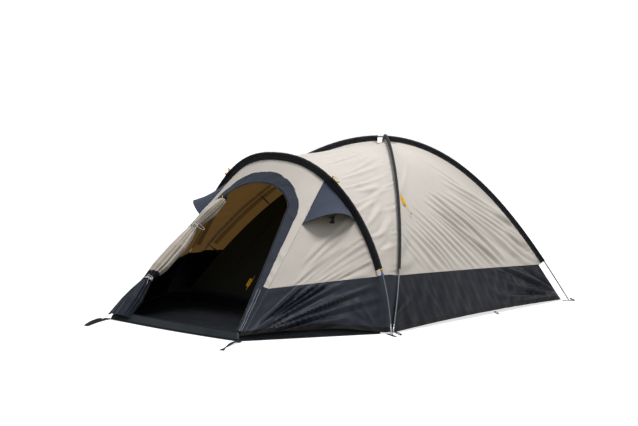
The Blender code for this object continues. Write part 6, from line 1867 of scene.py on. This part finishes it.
def tray_cloth(outline, rim, rim_heights, keys, count, lines, rng, wall_rings=6):
    """A groundsheet with raised edges, as a square grid drawn out to its outline.

    keys are the outline's corners as turns round the square: 0 to 4, from its lower left corner.
    """
    outline, rim = np.array(outline, float), np.array(rim, float)
    a, b = np.meshgrid(np.linspace(-1, 1, count), np.linspace(-1, 1, count), indexing="xy")
    ring = np.maximum(abs(a), abs(b))
    safe = np.maximum(ring, 1e-9)
    p, q = a / safe, b / safe
    near = 1 - 1e-9
    turn = np.where(q <= -near, (p + 1) / 2, np.where(p >= near, 1 + (q + 1) / 2,
                    np.where(q >= near, 2 + (1 - p) / 2, 3 + (1 - q) / 2)))
    turn = np.clip(turn, 0, 4)
    stops = np.append(np.array(keys, float), 4.0)

    def around(values):
        closed = np.concatenate([values, values[:1]])
        return np.stack([np.interp(turn, stops, column) for column in closed.T], -1)

    edge = 1 - 2 * wall_rings / (count - 1)
    base, top, high = around(outline), around(rim), around(np.array(rim_heights, float)[:, None])[..., 0]
    centre = outline.mean(axis=0)
    wall = np.clip((ring - edge) / (1 - edge), 0, 1)
    inner = centre + (base - centre) * np.clip(ring / edge, 0, 1)[..., None]
    plan = np.where((wall > 0)[..., None], lerp(base, top, wall[..., None]), inner)
    x, y = plan[..., 0], plan[..., 1]
    creases = np.abs(strokes(x, y, lines)) + 0.0012 + np.abs(ripple(x, y, rng, 0.22, 0.0016))
    calm = np.clip((edge - ring) / 0.06, 0, 1)
    z = 0.0009 + creases * calm + high * wall
    grid = np.concatenate([plan, z[..., None]], axis=-1)
    return grid, facing(grid, UP)


FRONT_BULGE = 0.030
FRONT_BULGE_DEPTH = 0.20


def inner_floor(rng, m):
    half_w, half_l = INNER_WIDTH / 2, INNER_LENGTH / 2
    corners = [(x * half_w, PEAK[1] + y * half_l) for x, y in ((-1, -1), (1, -1), (1, 1), (-1, 1))]
    lines = []
    for y in np.linspace(-0.3, 1.4, 9):
        lines.append(((-0.6, y), (0.6, y + rng.uniform(-0.1, 0.1)), 0.012, 0.003))
    grid, out = tray_cloth(corners, corners, [TUB_WALL] * 4, (0, 1, 2, 3), 91, lines, rng)
    obj = cloth("inner_floor_sheet", grid, out, [m["ground"], m["sill"]], 0.0010)
    finish_piece(obj, ["inner_floor"])
    stretched(grid)


def porch_groundsheet(rng, m):
    """The porch's groundsheet with its raised sill and bound edges."""
    front = np.array([PORCH_HALF - PORCH_FLOOR_INSET, PORCH_Y + PORCH_FLOOR_INSET])
    side = np.array([HALF_WIDTH - PORCH_SHEET_HOOP_INSET, FRONT_Y - PORCH_FLOOR_INSET])
    rear = np.array([INNER_WIDTH / 2, INNER_FRONT - GAP])
    front_rim = front + [-PORCH_WALL_LEAN, PORCH_WALL_LEAN]
    side_rim = side + [-PORCH_WALL_LEAN, PORCH_WALL_LEAN / 3]
    mirror = np.array([-1, 1])
    outline = [front * mirror, front, side, rear, rear * mirror, side * mirror]
    rim = [front_rim * mirror, front_rim, side_rim, rear, rear * mirror, side_rim * mirror]
    high = [PORCH_SILL] * 2 + [PORCH_WALL] * 4
    lines = [((-0.42, -1.36), (0.42, -1.34), 0.016, 0.006), ((-0.40, -1.24), (0.42, -1.20), 0.014, 0.005)]
    for _ in range(12):
        y = rng.uniform(-1.35, -0.65)
        start, end = (-0.4 + rng.uniform(-0.1, 0.2), y), (0.45, y + rng.uniform(-0.15, 0.2))
        lines.append((start, end, 0.012, rng.uniform(0.001, 0.004)))
    grid, out = tray_cloth(outline, rim, high, (0, 1, 1.84, 2, 3, 3.16), 101, lines, rng)
    share = np.clip(1 - (grid[..., 0] / PORCH_HALF) ** 2, 0, 1)
    nearness = np.clip((PORCH_Y + FRONT_BULGE_DEPTH - grid[..., 1]) / FRONT_BULGE_DEPTH, 0, 1) ** 2
    grid[..., 1] -= FRONT_BULGE * share * nearness
    parts = [cloth("sheet", grid, out, [m["ground"], m["sill"]], 0.0011)]
    for a, drop in ((0, 0.0), (5, 0.0016)):
        b = grid.shape[0] - 1 - a
        round_it = [grid[a, a:b], grid[a:b, b], grid[b, b:a:-1], grid[b:a:-1, a], grid[a:a + 1, a]]
        path = np.concatenate(round_it)
        parts.append(tube("binding", path + UP * drop, 0.0022, m["tape"]))
    obj = joined("porch_groundsheet_sheet", parts)
    finish_piece(obj, ["porch_groundsheet"])
    stretched(grid)


# Poles, tips and webbing

TIP_BALL = 0.0035
TIP_BARREL = 0.0048
TIP_LENGTH = 0.0623
TIP_PROFILE = (  # radius, height above the tip's end
    (0.30 * TIP_BALL, 0.0), (0.62 * TIP_BALL, 0.0006), (0.85 * TIP_BALL, 0.0015), (0.97 * TIP_BALL, 0.0026),
    (TIP_BALL, 0.0036), (0.92 * TIP_BALL, 0.0052), (0.8 * TIP_BALL, 0.0066), (0.8 * TIP_BALL, 0.0118),
    (0.96 * TIP_BARREL, 0.0142), (TIP_BARREL, 0.0148), (TIP_BARREL, 0.0460), (0.94 * TIP_BARREL, 0.0464),
    (0.94 * TIP_BARREL, 0.0478), (TIP_BARREL, 0.0482), (TIP_BARREL, 0.0612), (0.95 * TIP_BARREL, 0.0620),
)
PEG_LOOP_SHARE = 0.52
STRAP_ROLL = 62.0


def poles(m):
    radii, heights = np.array(TIP_PROFILE).T
    for node, arch, tips in (
        ("main_pole_1", POLE_ONE, ("main_pole_1_rear_tip", "main_pole_1_front_tip")),
        ("main_pole_2", POLE_TWO, ("main_pole_2_rear_tip", "main_pole_2_front_tip")),
        ("hoop_pole", HOOP, ("hoop_right_tip", "hoop_left_tip")),
    ):
        starts = []
        for sign, tip in zip((-1, 1), tips):
            end = arch.point(np.array(float(sign)))
            base = end + UP * 0.3 * TIP_BALL
            u = 1.0
            while np.linalg.norm(arch.point(np.array(sign * u)) - end) < TIP_LENGTH:
                u -= 0.0005
            starts.append(u)
            axis = unit(arch.point(np.array(sign * u)) - base)
            obj = tube(f"{tip}_turned", base + axis * heights[:, None], radii, m["tip"], 24)
            finish_piece(obj, [tip])
        u = np.concatenate([-np.linspace(starts[0], 0, 130), np.linspace(0, starts[1], 130)[1:]])
        obj = tube(f"{node}_tube", arch.point(u), POLE_DIAMETER / 2, m["pole"], 16)
        finish_piece(obj, [node])


def ring(name, place, across, down, radius, tall, thick, material):
    """A small loop of tape or cord that hangs from a place."""
    turns = np.linspace(0, 2 * math.pi, 25)
    path = [place + across * radius * math.sin(t) + down * tall * (1 - math.cos(t)) / 2 for t in turns]
    return tube(name, path, thick, material)


def ground_loops(side, name, m):
    """The peg loop at the middle of a long side's hem, and the tape loops at its main poles' feet."""
    edge = HALF_WIDTH - 0.006
    hem = vec(side * edge, lerp(FRONT_Y, REAR_Y, PEG_LOOP_SHARE), HEM_REST + HEM_ARCH)
    down = unit(vec(side * 0.9, 0, -0.42))
    loop = ring(f"peg_loop_side_{name}", hem, vec(0, 1, 0), down, 0.013, 0.030, 0.0024, m["webbing"])
    finish_piece(loop, [])
    for y_end, y, beside in (("front", FRONT_Y, 0.016), ("rear", REAR_Y, -0.010)):
        place = foot(side, y, 0.018) + vec(side * 0.014, beside, 0)
        across, down = unit(vec(0.5 * side, 0.9, 0)), unit(vec(side * 0.5, 0.45, -0.30))
        loop = ring(f"foot_loop_{y_end}_{name}", place, across, down, 0.009, 0.034, 0.0026, m["webbing"])
        finish_piece(loop, [])


def hoop_wrap(side, name, m):
    """The wrap round the hoop's sleeve at its guy loop, with a knot at each end."""
    u = np.array([HOOP.u_at(HOOP_TAB_HEIGHT + h, -side) for h in (-0.013, -0.005, 0.005, 0.013)])
    wrap = tube("wrap", HOOP.point(u), SLEEVE_RADIUS + 0.0022, m["webbing"], 24)
    outer = HOOP.point(u) + HOOP.outward(u) * (SLEEVE_RADIUS + 0.004)
    knots = [ring("knot", place, HOOP.side, HOOP.outward(u)[0], 0.005, 0.010, 0.0032, m["yellow"])
             for place in outer[[0, 3]]]
    finish_piece(joined(f"hoop_wrap_{name}", [wrap, *knots]), [])


def sleeve_end_tie(side, name, m):
    """The cord tied round the hoop where its sleeve ends, its loop, and the blue bead below it."""
    u = np.array(HOOP.u_at(SLEEVE_END_HEIGHT - 0.012, -side))
    place, outward, along = HOOP.point(u), HOOP.outward(u), HOOP.tangent(u) * side
    wrap = [place + (math.cos(t) * outward + math.sin(t) * HOOP.side) * 0.0068 + along * 0.0004 * t
            for t in np.linspace(0, 4 * math.pi, 49)]
    cord = tube("cord", wrap, 0.0015, m["yellow"])
    up = unit(outward + 0.5 * UP)
    loop = ring("loop", place + outward * 0.006, HOOP.side, up, 0.006, 0.016, 0.0015, m["yellow"])
    low = HOOP.point(np.array(HOOP.u_at(SLEEVE_END_HEIGHT - 0.030, -side)))
    bead_path = [low + along * h for h in (-0.008, -0.006, 0.006, 0.008)]
    bead = tube("bead", bead_path, np.array([0.0056, 0.0066, 0.0066, 0.0056]), m["blue"], 16)
    finish_piece(joined(f"sleeve_end_tie_{name}", [cord, loop, bead]), [])


def small_fittings(m):
    for side, name in SIDES:
        ground_loops(side, name, m)
        hoop_wrap(side, name, m)
        sleeve_end_tie(side, name, m)


def porch_straps(m):
    """The webbing straps at the porch's front corners, rolled on edge between their ends."""
    for side, name in SIDES:
        forward = vec(math.sin(STRAP_TURN), -math.cos(STRAP_TURN), 0)
        across = vec(math.cos(STRAP_TURN), math.sin(STRAP_TURN), 0)
        begin = porch_corner(side) + forward * STRAP_STARTS[side] + forward * (BUCKLE_LENGTH + GAP)
        s = np.linspace(0, STRAP_LENGTH, 101)[:, None, None]
        c = np.linspace(-1, 1, 13)[None, :, None]
        sway = 0.0015 * np.sin(s * 19 + side)
        roll = math.radians(STRAP_ROLL) * np.sin(math.pi * np.clip(s / STRAP_LENGTH, 0, 1)) ** 0.8 * side
        lift = 0.0012 + WEBBING_WIDTH / 2 * np.abs(np.sin(roll))
        grid = begin + forward * s + across * (c * WEBBING_WIDTH / 2 * np.cos(roll) + sway)
        grid = grid + UP * (lift + c * WEBBING_WIDTH / 2 * np.sin(roll))
        both = [m["webbing"], m["webbing"]]
        strap = cloth("strap", grid, facing(grid, UP), both, 0.0014)
        end = grid[-9:] + UP * 0.0019
        fold = cloth("fold", end, np.broadcast_to(UP, end.shape), both, 0.0014)
        piece = joined(f"porch_strap_{name}_webbing", [strap, fold])
        finish_piece(piece, [f"porch_strap_{name}"], f"strap_{name}")


def cad_finishes(m):
    """Gives the frame's own parts that stay in view their finishes."""
    one_each = {"door_zip_slider": "tip", "inner_hook_upper": "plastic", "inner_hook_lower": "plastic"}
    pairs = {
        "porch_buckle": "plastic", "guyline_runner": "tip", "hoop_guy_loop": "yellow",
        "vent_strut": "webbing", "anchor_front": "webbing", "anchor_rear": "webbing",
    }
    finishes = one_each | {f"{part}_{name}": key for part, key in pairs.items() for _, name in SIDES}
    for node, key in finishes.items():
        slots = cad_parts[node].data.materials
        slots.clear()
        slots.append(m[key])


def main():
    camera()
    studio()
    m = materials()
    cords(m)
    dome_panel("side_right", ((RIGHT, "front"), (RIGHT, "rear")), vec(1, 0, 0), SIDE_SAG, 1, 11, m)
    dome_panel("side_left", ((LEFT, "rear"), (LEFT, "front")), vec(-1, 0, 0), SIDE_SAG, 1, 12, m)
    dome_panel("rear", ((RIGHT, "rear"), (LEFT, "rear")), vec(0, 1, 0), REAR_SAG, 0, 13, m)
    crown_patch(m)
    front_roof(m)
    sleeves(m)
    seam_bindings(m)
    porch_front(m)
    for side, name in SIDES:
        porch_side(side, name, m)
    door_trim(m)
    door_zip(m)
    door_flap(m)
    inner_tent(m)
    rng = np.random.default_rng(91)
    inner_floor(rng, m)
    porch_groundsheet(rng, m)
    poles(m)
    porch_straps(m)
    small_fittings(m)
    cad_finishes(m)


main()
